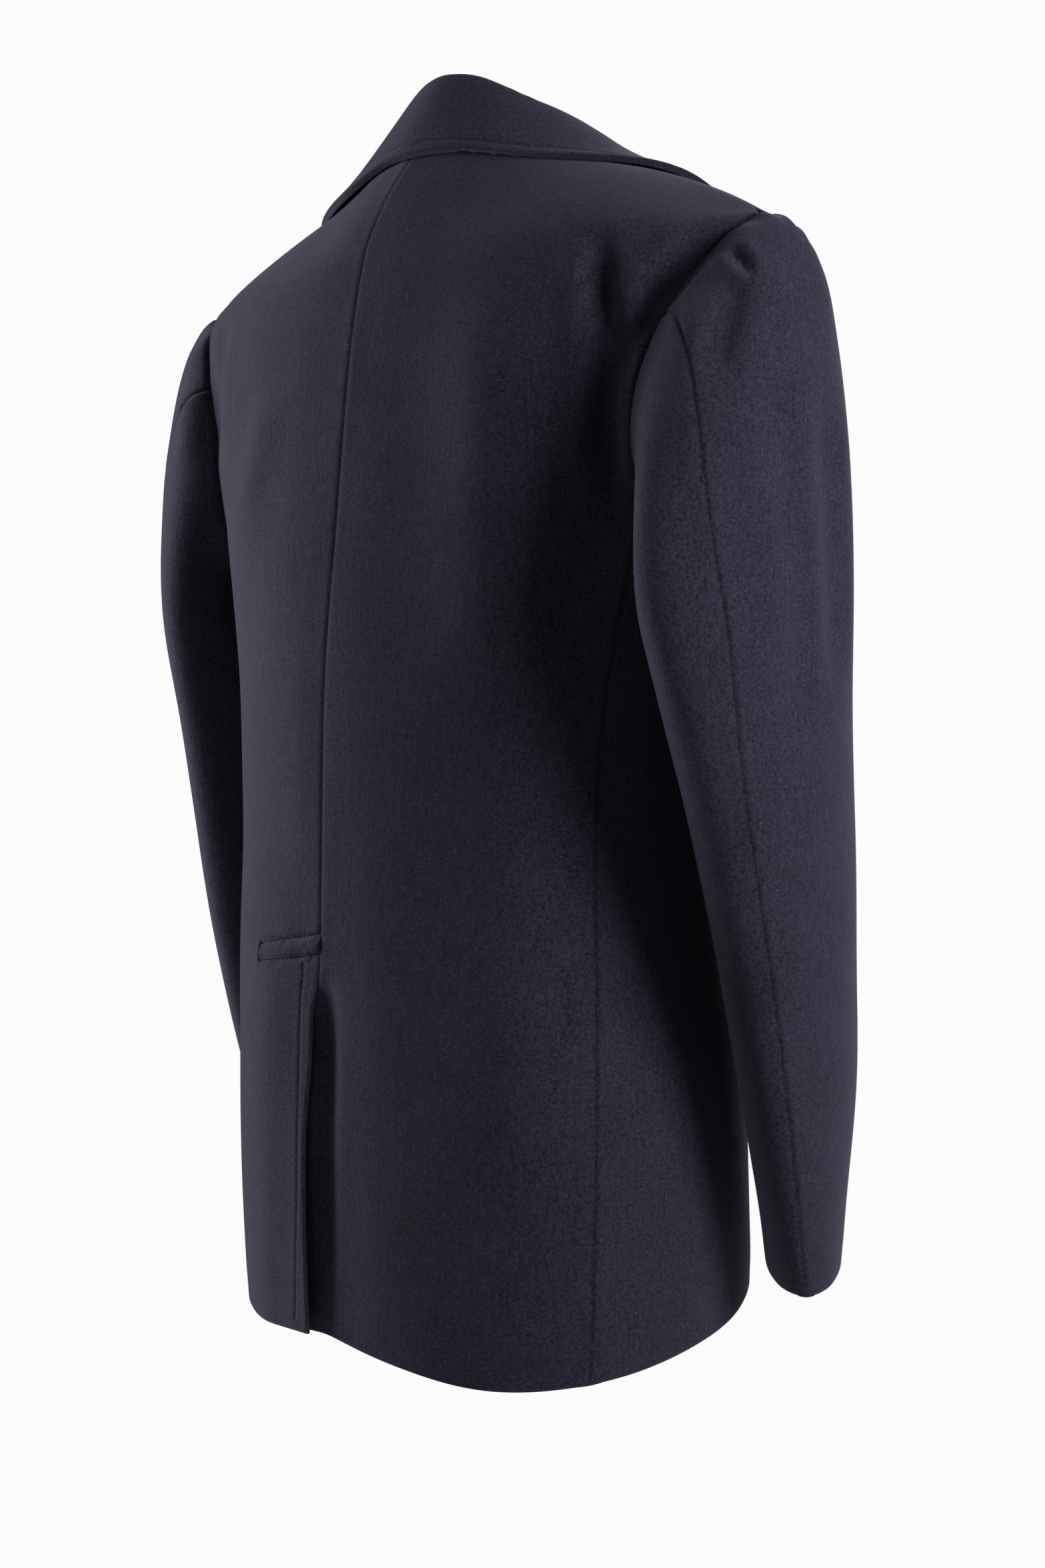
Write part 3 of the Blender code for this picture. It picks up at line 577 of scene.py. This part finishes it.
ROW_STEP = 1.0
VENT_DEPTH, BAR_DEPTH = 0.5, 1.6
rows_of = {node: [] for node in PANELS}
for node, inset, upright, clear, depth in EDGE_ROWS:
    tree = surface_of(cloth[node])
    rim = tree_of(edges_of[node][0])
    sewn = seams_of[node][0]
    if clear:
        sewn = [place for other in PANELS if other != node for place in edges_of[other][0]]
    for chain in edge_chains(cloth[node], sewn, clear, upright):
        stepped = [place + way * inset * MM for place, way in chain]
        stepped = on_surface(tree, stepped)
        stepped = [p for p in stepped if rim.find(p)[2] > inset * ROW_TRUE * MM]
        if len(stepped) > CHAIN_LEAST:
            rows_of[node].append((on_surface(tree, even_row(stepped, ROW_STEP * MM)), depth))
tree = surface_of(cloth["back_left"])
for row, depth in ((VENT_ROW, VENT_DEPTH), (BAR_ROW, BAR_DEPTH)):
    stepped = even_row(np.array(row) * MM, ROW_STEP * MM)
    rows_of["back_left"].append((on_surface(tree, stepped), depth))
for node in PANELS:
    if rows_of[node]:
        print(node, "rows of", [len(row) for row, _ in rows_of[node]], "mm")

# %% [markdown]
# A groove is only about a millimetre wide, narrower than a cell. So the cells beside each row are
# cut in four, twice over, before the groove is pressed in. The bar is raised as a whole, because
# the layers of the vent end inside it.

# %% Groove the rows of stitches
ROW_REACHES = (4.5, 2.6)  # cells nearer than this to a row are cut in four, once for each
ROW_WIDTH, ROW_LEAST = 1.1, 0.01
SWELL, SWELL_PLACE, SWELL_WIDTH = 0.3, 3.2, 1.5


def refine(piece, chosen):
    """Cuts the chosen cells of a sheet in four."""
    mesh = bmesh.new()
    mesh.from_mesh(piece.data)
    mesh.verts.ensure_lookup_table()
    edges = [e for e in mesh.edges if all(chosen[v.index] for v in e.verts)]
    bmesh.ops.subdivide_edges(mesh, edges=edges, cuts=1, use_grid_fill=True)
    mesh.to_mesh(piece.data)
    mesh.free()


def groove_rows(node):
    """Presses every row of a piece into its sheet, and darkens the groove a little with painted
    shade.
    """
    piece = cloth[node]
    for reach in ROW_REACHES:
        stitched = [p for row, _ in rows_of[node] for p in row]
        refine(piece, nearest(get_points(piece), stitched)[0] < reach * MM)
    points, normals = get_points(piece), get_normals(piece)
    lift, groove_shade = np.zeros(len(points)), np.zeros(len(points))
    for row, depth in rows_of[node]:
        away = nearest(points, row)[0] / MM
        dip = np.exp(-(away / ROW_WIDTH) ** 2)
        lift = np.where(dip > ROW_LEAST, np.minimum(lift, -depth * dip), lift)
        lift += SWELL * depth * np.exp(-((away - SWELL_PLACE) / SWELL_WIDTH) ** 2)
        # painted shade: each groove is darkened as deeply as its row pulls, up to full strength
        groove_shade = np.maximum(groove_shade, dip * min(depth, 1))
    if node == "back_left":
        middle = (np.array(BAR_TOP) + np.array(BAR_LOW)) / 2
        line = np.array((middle, BAR_MIDDLE, BAR_END)) * MM
        lift += BAR_RISE * ease((BAR_HALF - line_distance(points, line)[0] / MM) / BAR_SLOPE)
    set_points(piece, points + normals * (lift * MM)[:, None])
    # the grooves' painted shade joins the painted shade of the seam valleys
    seam = np.empty(len(points), np.float32)
    piece.data.attributes["seam"].data.foreach_get("value", seam)
    store(piece, "seam", np.maximum(seam, groove_shade))


for node in PANELS:
    if rows_of[node]:
        groove_rows(node)
        print(node, len(cloth[node].data.polygons), "faces")

# %% [markdown]
# Melton is wool that is woven, shrunk and brushed until the weave is hidden. Close up it shows a
# fine grain, faint streaks down its nap and a few pale specks of fluff. One node group makes these
# from the object's own coordinates, and any wool finish can use it with its own strengths. The same
# group also darkens the wool with painted shade in the seam valleys and stitch grooves.

# %% Wool grain group
GRAIN_SCALE, STREAK_SCALE, CLOUD_SCALE, FLUFF_SCALE = 560, 420, 22, 105
GRAIN_DETAIL, STREAK_DETAIL, CLOUD_DETAIL = (3, 0.8), (2, 0.6), (3, 0.6)  # octaves and roughness
NAP = (1, 1, 0.16)  # the streaks are drawn out down the nap
# the first value sets how strongly painted shade darkens the seam valleys and stitch grooves
PAINTED_SHADE_STRENGTH, DARKEST, STREAK_HEIGHT = 0.55, 0.1, 0.6
FLUFF_RARE, FLUFF_SIZE, FLUFF_SHOW = 0.93, 0.055, 0.6


def link(tree, source, target):
    tree.links.new(source, target)


def math_node(tree, operation, first, second=None, clamp=False):
    node = tree.nodes.new("ShaderNodeMath")
    node.operation = operation
    node.use_clamp = clamp
    for socket, value in zip(node.inputs, (first, second)):
        if value is None:
            continue
        if isinstance(value, (int, float)):
            socket.default_value = value
        else:
            link(tree, value, socket)
    return node.outputs[0]


def noise_node(tree, vector, scale, detail, rough):
    node = tree.nodes.new("ShaderNodeTexNoise")
    node.inputs["Scale"].default_value = scale
    node.inputs["Detail"].default_value = detail
    node.inputs["Roughness"].default_value = rough
    link(tree, vector, node.inputs["Vector"])
    return node.outputs["Fac"]


def wool_grain_group():
    """The shared group: it puts out the wool's colour, darkened by painted shade in seam valleys
    and stitch grooves, and the height of its nap.
    """
    tree = bpy.data.node_groups.new("wool_grain", "ShaderNodeTree")
    face = tree.interface
    for name, kind, value in (
        ("Wool", "NodeSocketColor", (0.02, 0.02, 0.03, 1)),
        ("Fluff", "NodeSocketColor", (0.2, 0.2, 0.2, 1)),
        ("Grain", "NodeSocketFloat", 0.5), ("Streaks", "NodeSocketFloat", 0.3),
        ("Clouds", "NodeSocketFloat", 0.2), ("Seam", "NodeSocketFloat", 0.0),
    ):
        face.new_socket(name, in_out="INPUT", socket_type=kind).default_value = value
    face.new_socket("Color", in_out="OUTPUT", socket_type="NodeSocketColor")
    face.new_socket("Height", in_out="OUTPUT", socket_type="NodeSocketFloat")
    source = tree.nodes.new("NodeGroupInput").outputs
    target = tree.nodes.new("NodeGroupOutput").inputs
    where = tree.nodes.new("ShaderNodeTexCoord").outputs["Object"]
    drawn = tree.nodes.new("ShaderNodeMapping")
    drawn.inputs["Scale"].default_value = NAP
    link(tree, where, drawn.inputs["Vector"])
    grain = noise_node(tree, where, GRAIN_SCALE, *GRAIN_DETAIL)
    streaks = noise_node(tree, drawn.outputs[0], STREAK_SCALE, *STREAK_DETAIL)
    clouds = noise_node(tree, where, CLOUD_SCALE, *CLOUD_DETAIL)
    total = 1.0
    for value, strength in ((grain, "Grain"), (streaks, "Streaks"), (clouds, "Clouds")):
        centred = math_node(tree, "SUBTRACT", value, 0.5)
        swing = math_node(tree, "MULTIPLY", centred, source[strength])
        total = math_node(tree, "ADD", swing, total)
    # painted shade: the wool is made darker in the seam valleys and stitch grooves
    shade = math_node(tree, "MULTIPLY", source["Seam"], PAINTED_SHADE_STRENGTH)
    total = math_node(tree, "SUBTRACT", total, shade)
    total = math_node(tree, "MAXIMUM", total, DARKEST)
    tinted = tree.nodes.new("ShaderNodeVectorMath")
    tinted.operation = "SCALE"
    link(tree, source["Wool"], tinted.inputs[0])
    link(tree, total, tinted.inputs["Scale"])
    cells = tree.nodes.new("ShaderNodeTexVoronoi")
    cells.inputs["Scale"].default_value = FLUFF_SCALE
    link(tree, where, cells.inputs["Vector"])
    split = tree.nodes.new("ShaderNodeSeparateColor")
    link(tree, cells.outputs["Color"], split.inputs[0])
    rare = math_node(tree, "GREATER_THAN", split.outputs[0], FLUFF_RARE)
    small = math_node(tree, "LESS_THAN", cells.outputs["Distance"], FLUFF_SIZE)
    speck = math_node(tree, "MULTIPLY", math_node(tree, "MULTIPLY", rare, small), FLUFF_SHOW)
    fluff = tree.nodes.new("ShaderNodeMix")
    fluff.data_type = "RGBA"
    link(tree, speck, fluff.inputs["Factor"])
    link(tree, tinted.outputs[0], fluff.inputs["A"])
    link(tree, source["Fluff"], fluff.inputs["B"])
    link(tree, fluff.outputs["Result"], target["Color"])
    ribs = math_node(tree, "MULTIPLY", streaks, STREAK_HEIGHT)
    link(tree, math_node(tree, "ADD", grain, ribs), target["Height"])
    return tree


wool_grain = wool_grain_group()
print("group sockets:", len(wool_grain.interface.items_tree))

# %% Wool material
NAVY = (0.0205, 0.0190, 0.0347, 1)
FLUFF_COLOUR = (0.16, 0.15, 0.17, 1)
NAP_BUMP, NAP_HEIGHT = 0.8, 0.0004
WOOL_GRAIN = {"Grain": 4.4, "Streaks": 0.8, "Clouds": 0.6}
WOOL_SHADER = {
    "Roughness": 0.95, "Specular IOR Level": 0.15,
    "Sheen Weight": 0.22, "Sheen Roughness": 0.55, "Sheen Tint": (0.62, 0.60, 0.85, 1),
}


def new_material(name):
    material = bpy.data.materials.new(name)
    material.use_nodes = True
    return material, material.node_tree, material.node_tree.nodes["Principled BSDF"]


def wool_material(name, wool):
    """Wool of one colour: grain and nap from the group, the rest set on the shader itself."""
    material, tree, shader = new_material(name)
    group = tree.nodes.new("ShaderNodeGroup")
    group.node_tree = wool_grain
    group.inputs["Wool"].default_value = wool
    group.inputs["Fluff"].default_value = FLUFF_COLOUR
    for socket, value in WOOL_GRAIN.items():
        group.inputs[socket].default_value = value
    # painted shade of the seam valleys and stitch grooves, read from the sheet's points
    seam = tree.nodes.new("ShaderNodeAttribute")
    seam.attribute_name = "seam"
    link(tree, seam.outputs["Fac"], group.inputs["Seam"])
    raised = tree.nodes.new("ShaderNodeBump")
    raised.inputs["Strength"].default_value = NAP_BUMP
    raised.inputs["Distance"].default_value = NAP_HEIGHT
    link(tree, group.outputs["Height"], raised.inputs["Height"])
    link(tree, group.outputs["Color"], shader.inputs["Base Color"])
    link(tree, raised.outputs["Normal"], shader.inputs["Normal"])
    for socket, value in WOOL_SHADER.items():
        shader.inputs[socket].default_value = value
    return material


melton = wool_material("navy_melton", NAVY)
print("wool:", melton.name)

# %% [markdown]
# The sheet now gets the thickness of its cloth, inwards from the face side. The collar and lapels
# are two layers turned at the edge, so they are thicker and their edges rounder.

# %% Thickness
SINGLE, DOUBLE = 2.4, 4.2
EDGE_ROUNDING, EDGE_STEPS, EDGE_ANGLE = 0.07, 3, math.radians(50)
THICK = {"collar": DOUBLE, "lapel_left": DOUBLE, "lapel_right": DOUBLE}


def thicken(node, piece):
    """Gives a sheet its wall, inwards, and rounds the wall's rim."""
    depth = THICK.get(node, SINGLE)
    wall = piece.modifiers.new("wall", "SOLIDIFY")
    wall.thickness = depth * MM
    wall.offset = -1
    rounding = piece.modifiers.new("rounding", "BEVEL")
    rounding.width = depth * EDGE_ROUNDING * MM
    rounding.segments = EDGE_STEPS
    rounding.limit_method = "ANGLE"
    rounding.angle_limit = EDGE_ANGLE
    apply_modifiers(piece)


faces_of = {node: surface_of(piece) for node, piece in cloth.items()}
for node, piece in cloth.items():
    thicken(node, piece)
    piece.data.materials.clear()
    piece.data.materials.append(melton)
    piece.data.polygons.foreach_set("use_smooth", [True] * len(piece.data.polygons))
    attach(piece, "root")
    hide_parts(node)
    piece.data.calc_loop_triangles()
    print(node, len(piece.data.loop_triangles), "triangles")

# %% [markdown]
# A row of topstitching is made of real stitches: each is a short, plump loop of thread, half sunk
# in its groove. One stitch is modelled with few faces, because hundreds of copies of it are laid,
# each turned along its row and laid flat on the cloth.

# %% Lay the stitches
STITCH_LENGTH, STITCH_PITCH, THREAD_WIDTH = 2.9, 3.8, 0.6
LOOP_SIDES, LOOP_RINGS = 6, 5
THREAD_COLOUR, THREAD_ROUGH = (0.019, 0.018, 0.028, 1), 0.5


def plain_material(name, colour, roughness, coat=0.0):
    material, _, shader = new_material(name)
    shader.inputs["Base Color"].default_value = colour
    shader.inputs["Roughness"].default_value = roughness
    shader.inputs["Coat Weight"].default_value = coat
    return material


thread = plain_material("dark_thread", THREAD_COLOUR, THREAD_ROUGH)


def one_loop():
    """A plump loop of thread, one unit long, one wide and one high."""
    mesh = bmesh.new()
    bmesh.ops.create_uvsphere(mesh, u_segments=LOOP_SIDES, v_segments=LOOP_RINGS, radius=0.5)
    turn = Matrix.Rotation(math.pi / 2, 4, "Y")
    bmesh.ops.transform(mesh, matrix=turn, verts=mesh.verts[:])
    data = bpy.data.meshes.new("one_loop")
    mesh.to_mesh(data)
    mesh.free()
    return data


loop = one_loop()


def lay_loop(mesh, place, along, up, size):
    """Adds one loop of thread, its length along one direction and its back to another."""
    across = up.cross(along).normalized()
    turn = Matrix((across.cross(up), across, up)).transposed().to_4x4()
    shape = Matrix.Translation(place) @ turn @ Matrix.Diagonal((*size, 1 / MM)) * MM
    before = len(mesh.verts)
    mesh.from_mesh(loop)
    mesh.verts.ensure_lookup_table()
    new = [mesh.verts[i] for i in range(before, len(mesh.verts))]
    bmesh.ops.transform(mesh, matrix=shape, verts=new)


def finish_piece(name, mesh, material):
    """A smooth-shaded object of one material, which rides on the coat's body."""
    piece = new_object(name, mesh)
    piece.data.materials.append(material)
    piece.data.polygons.foreach_set("use_smooth", [True] * len(piece.data.polygons))
    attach(piece, "root")
    return piece


def stitch_rows(node):
    """All the stitches of one piece of cloth, as one object."""
    mesh = bmesh.new()
    for row, _ in rows_of[node]:
        places = even_row(row, STITCH_PITCH * MM)
        for here, onward in zip(places, places[1:]):
            place, up = faces_of[node].find_nearest(Vector((here + onward) / 2))[:2]
            along = Vector(onward - here)
            lay_loop(mesh, place, along, up, (STITCH_LENGTH, THREAD_WIDTH, THREAD_WIDTH))
    return finish_piece(node + "_stitches", mesh, thread)


trim = {node: [stitch_rows(node)] for node in PANELS if rows_of[node]}
for node, pieces in trim.items():
    print(node, len(pieces[0].data.polygons) // len(loop.polygons), "stitches")

# %% [markdown]
# The wearer's left front buttons over the right one, so its buttonholes are the column nearest its
# edge. Each is a slit whose two lips are bound with close stitches. The button stands at the end of
# its hole that is nearer the edge, because the coat pulls away from it.

# %% Bind the buttonholes
HOLE_LENGTH, HOLE_HALF, LIP_PITCH, LIP_LENGTH = 27.0, 1.2, 0.85, 2.3
SLIT_THREAD, LIP_THREAD = (LIP_PITCH * 2, 1.0, 0.3), (LIP_LENGTH, 0.8, 0.9)
HOLE_BEYOND = 3.0  # how far the hole goes past the button's middle, towards the edge
HOLE_BUTTONS = ("button_1", "button_3", "button_5")


def seat_of(node):
    """A button's middle, and the way it faces."""
    points = get_points(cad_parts[node])
    middle = (points.min(axis=0) + points.max(axis=0)) / 2
    spread = points - points.mean(axis=0)
    facing = np.linalg.eigh(spread.T @ spread)[1][:, 0]
    return Vector(middle), Vector(-facing if facing[1] > 0 else facing)


def bind_hole(node):
    """The stitches round one buttonhole, on the front's own surface."""
    middle, facing = seat_of(node)
    tree = faces_of["front_left"]
    slit = Vector((1, 0, 0)) - facing * facing.x
    slit.normalize()
    start = middle - slit * HOLE_BEYOND * MM
    row = on_surface(tree, even_row([start, start + slit * HOLE_LENGTH * MM], LIP_PITCH * MM))
    mesh = bmesh.new()
    for here, onward in zip(row, row[1:]):
        place, up = tree.find_nearest((here + onward) / 2)[:2]
        along = (onward - here).normalized()
        side = up.cross(along)
        lay_loop(mesh, place, along, up, SLIT_THREAD)
        for lip in (-HOLE_HALF, HOLE_HALF):
            lay_loop(mesh, place + side * lip * MM, side, up, LIP_THREAD)
    for end, inner in ((row[0], row[1]), (row[-1], row[-2])):
        place, up = tree.find_nearest(end)[:2]
        side = up.cross(end - inner).normalized()
        for turn in (-1, 0, 1):
            out = (end - inner).normalized() * math.cos(turn) + side * math.sin(turn)
            lay_loop(mesh, place + out * HOLE_HALF * MM, out, up, LIP_THREAD)
    return finish_piece(node + "_hole", mesh, thread)


trim["front_left"] += [bind_hole(node) for node in HOLE_BUTTONS]
print("buttonholes:", len(HOLE_BUTTONS))

# %% [markdown]
# The buttons are turned from dark horn, with a rounded rim, a shallow dish and four holes. The
# body is a profile spun round the middle, and four pins are cut out of it. Two bars of thread and a
# short shank behind hold it on.

# %% Turn the buttons
# radius and height in mm, from the middle of the back round to the middle of the dish
BUTTON_PROFILE = (
    (0, -2.6), (9.5, -2.6), (12.2, -1.9), (13.6, -0.6), (14.0, 0.4), (13.7, 1.2), (13.0, 1.7),
    (12.2, 1.8), (11.2, 1.4), (10.2, 0.75), (9.4, 0.45), (8.9, 0.4), (8.4, 0.4), (0, 0.4),
)
BUTTON_STEPS, BUTTON_MERGE = 48, 0.001
HOLE_SHARP = math.radians(60)
HOLE_OUT, HOLE_RADIUS, HOLE_SIDES, PIN_LENGTH = 2.4, 1.1, 16, 8
HORN, HORN_ROUGH, HORN_COAT = (0.0085, 0.0078, 0.0090, 1), 0.28, 0.25
horn = plain_material("dark_horn", HORN, HORN_ROUGH, coat=HORN_COAT)


def turned_button():
    mesh = bmesh.new()
    profile = [mesh.verts.new((radius, 0, height)) for radius, height in BUTTON_PROFILE]
    for first, last in zip(profile, profile[1:]):
        mesh.edges.new((first, last))
    bmesh.ops.spin(
        mesh, geom=mesh.verts[:] + mesh.edges[:], cent=(0, 0, 0), axis=(0, 0, 1),
        angle=math.tau, steps=BUTTON_STEPS, use_merge=True, use_duplicate=False,
    )
    bmesh.ops.remove_doubles(mesh, verts=mesh.verts[:], dist=BUTTON_MERGE)
    bmesh.ops.recalc_face_normals(mesh, faces=mesh.faces[:])
    return new_object("turned_button", mesh)


def hole_pins():
    mesh = bmesh.new()
    for x in (-HOLE_OUT, HOLE_OUT):
        for y in (-HOLE_OUT, HOLE_OUT):
            bmesh.ops.create_cone(
                mesh, cap_ends=True, segments=HOLE_SIDES, radius1=HOLE_RADIUS, radius2=HOLE_RADIUS,
                depth=PIN_LENGTH, matrix=Matrix.Translation((x, y, 0)),
            )
    return new_object("hole_pins", mesh)


def drilled_button():
    """The mesh of one button round the origin, in mm, facing +Z."""
    body, pins = turned_button(), hole_pins()
    cut = body.modifiers.new("holes", "BOOLEAN")
    cut.operation, cut.object, cut.solver = "DIFFERENCE", pins, "EXACT"
    apply_modifiers(body)
    data = body.data
    data.polygons.foreach_set("use_smooth", [True] * len(data.polygons))
    data.set_sharp_from_angle(angle=HOLE_SHARP)
    for piece in (body, pins):
        bpy.data.objects.remove(piece)
    return data


button_mesh = drilled_button()
THREAD_BARS = (-HOLE_OUT, HOLE_OUT)
BAR_STRANDS, BAR_UP = (-0.55, 0.0, 0.55), 0.55
BAR_THREAD = (2 * HOLE_OUT + 1.6, 0.7, 1.3)
SHANK_RADIUS, SHANK_LENGTH, SHANK_SIDES, SHANK_BEHIND = 2.4, 3, 12, 4


def set_button(node):
    """One button over its solid, and the thread that holds it: two bars and the shank behind."""
    middle, facing = seat_of(node)
    level = Vector((1, 0, 0)) - facing * facing.x
    level.normalize()
    turn = Matrix((level, facing.cross(level), facing)).transposed().to_4x4()
    mesh = bmesh.new()
    mesh.from_mesh(button_mesh)
    place = Matrix.Translation(middle) @ turn @ Matrix.Diagonal((MM, MM, MM, 1))
    bmesh.ops.transform(mesh, matrix=place, verts=mesh.verts[:])
    button = finish_piece(node + "_horn", mesh, horn)
    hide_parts(node)
    bars = bmesh.new()
    for bar in THREAD_BARS:
        for strand in BAR_STRANDS:
            spot = place @ Vector((0, bar + strand, BAR_UP))
            lay_loop(bars, spot, level, facing, BAR_THREAD)
    bmesh.ops.create_cone(
        bars, cap_ends=True, segments=SHANK_SIDES, depth=SHANK_LENGTH * MM,
        radius1=SHANK_RADIUS * MM, radius2=SHANK_RADIUS * MM,
        matrix=Matrix.Translation(middle - facing * SHANK_BEHIND * MM) @ turn,
    )
    return button, finish_piece(node + "_thread", bars, thread)


BUTTONS = tuple(f"button_{number}" for number in range(1, 7))
for node in BUTTONS:
    button, bars = set_button(node)
    print(button.name, len(button.data.polygons), "faces")

# %% [markdown]

# %% [markdown]
# Dark wool needs light that grazes it, or it shows as a flat black shape. Two soft panels stand
# far round to the sides, and draw long bright bands on the sleeves and on the side of the back. A
# weak one stands behind the coat and a broad one in front of it, so that no side is left in the
# dark. The room itself is white to look at, but gives only a weak fill.

# %% Floor and light
FLOOR_HEIGHT, FLOOR_RADIUS, FLOOR_SIDES = -1.42, 1.05, 96
FLOOR_COLOUR, FLOOR_ROUGH = (0.8, 0.8, 0.8, 1), 0.5
ROOM_WHITE, ROOM_FILL = 0.97, 0.06
AIM = Vector((0, 0, -0.26))

floor_mesh = bmesh.new()
bmesh.ops.create_circle(floor_mesh, cap_ends=True, segments=FLOOR_SIDES, radius=FLOOR_RADIUS)
bmesh.ops.translate(floor_mesh, verts=floor_mesh.verts[:], vec=(0, 0, FLOOR_HEIGHT))
floor = new_object("floor", floor_mesh)
floor.data.materials.append(plain_material("floor_paper", FLOOR_COLOUR, FLOOR_ROUGH))

world = bpy.data.worlds.new("studio")
scene.world = world
world.use_nodes = True
room_tree = world.node_tree
room = room_tree.nodes["Background"]
room.inputs["Color"].default_value = (1, 1, 1, 1)
rays = room_tree.nodes.new("ShaderNodeLightPath")
seen = math_node(room_tree, "MULTIPLY", rays.outputs["Is Camera Ray"], ROOM_WHITE - ROOM_FILL)
link(room_tree, math_node(room_tree, "ADD", seen, ROOM_FILL), room.inputs["Strength"])
scene.view_settings.view_transform = "Standard"

# name, place, width, height, power in watts
PANEL_LIGHTS = (
    ("light_left", (1.26, 0.52, -0.06), 0.7, 0.7, 19),
    ("light_right", (-1.36, 0.00, -0.06), 0.6, 0.7, 17),
    ("light_back", (0.10, 1.90, 0.00), 1.2, 1.2, 3.5),
    ("light_front", (0.60, -2.00, 0.20), 1.4, 1.8, 22),
)


def panel_light(name, place, width, height, power):
    """A soft rectangular light that looks at the middle of the coat."""
    data = bpy.data.lights.new(name, "AREA")
    data.shape = "RECTANGLE"
    data.size, data.size_y = width, height
    data.energy = power
    lamp = bpy.data.objects.new(name, data)
    lamp.location = place
    lamp.rotation_mode = "QUATERNION"
    lamp.rotation_quaternion = (AIM - Vector(place)).to_track_quat("-Z", "Y")
    scene.collection.objects.link(lamp)


for name, place, width, height, power in PANEL_LIGHTS:
    panel_light(name, place, width, height, power)
    print(name, power, "W")
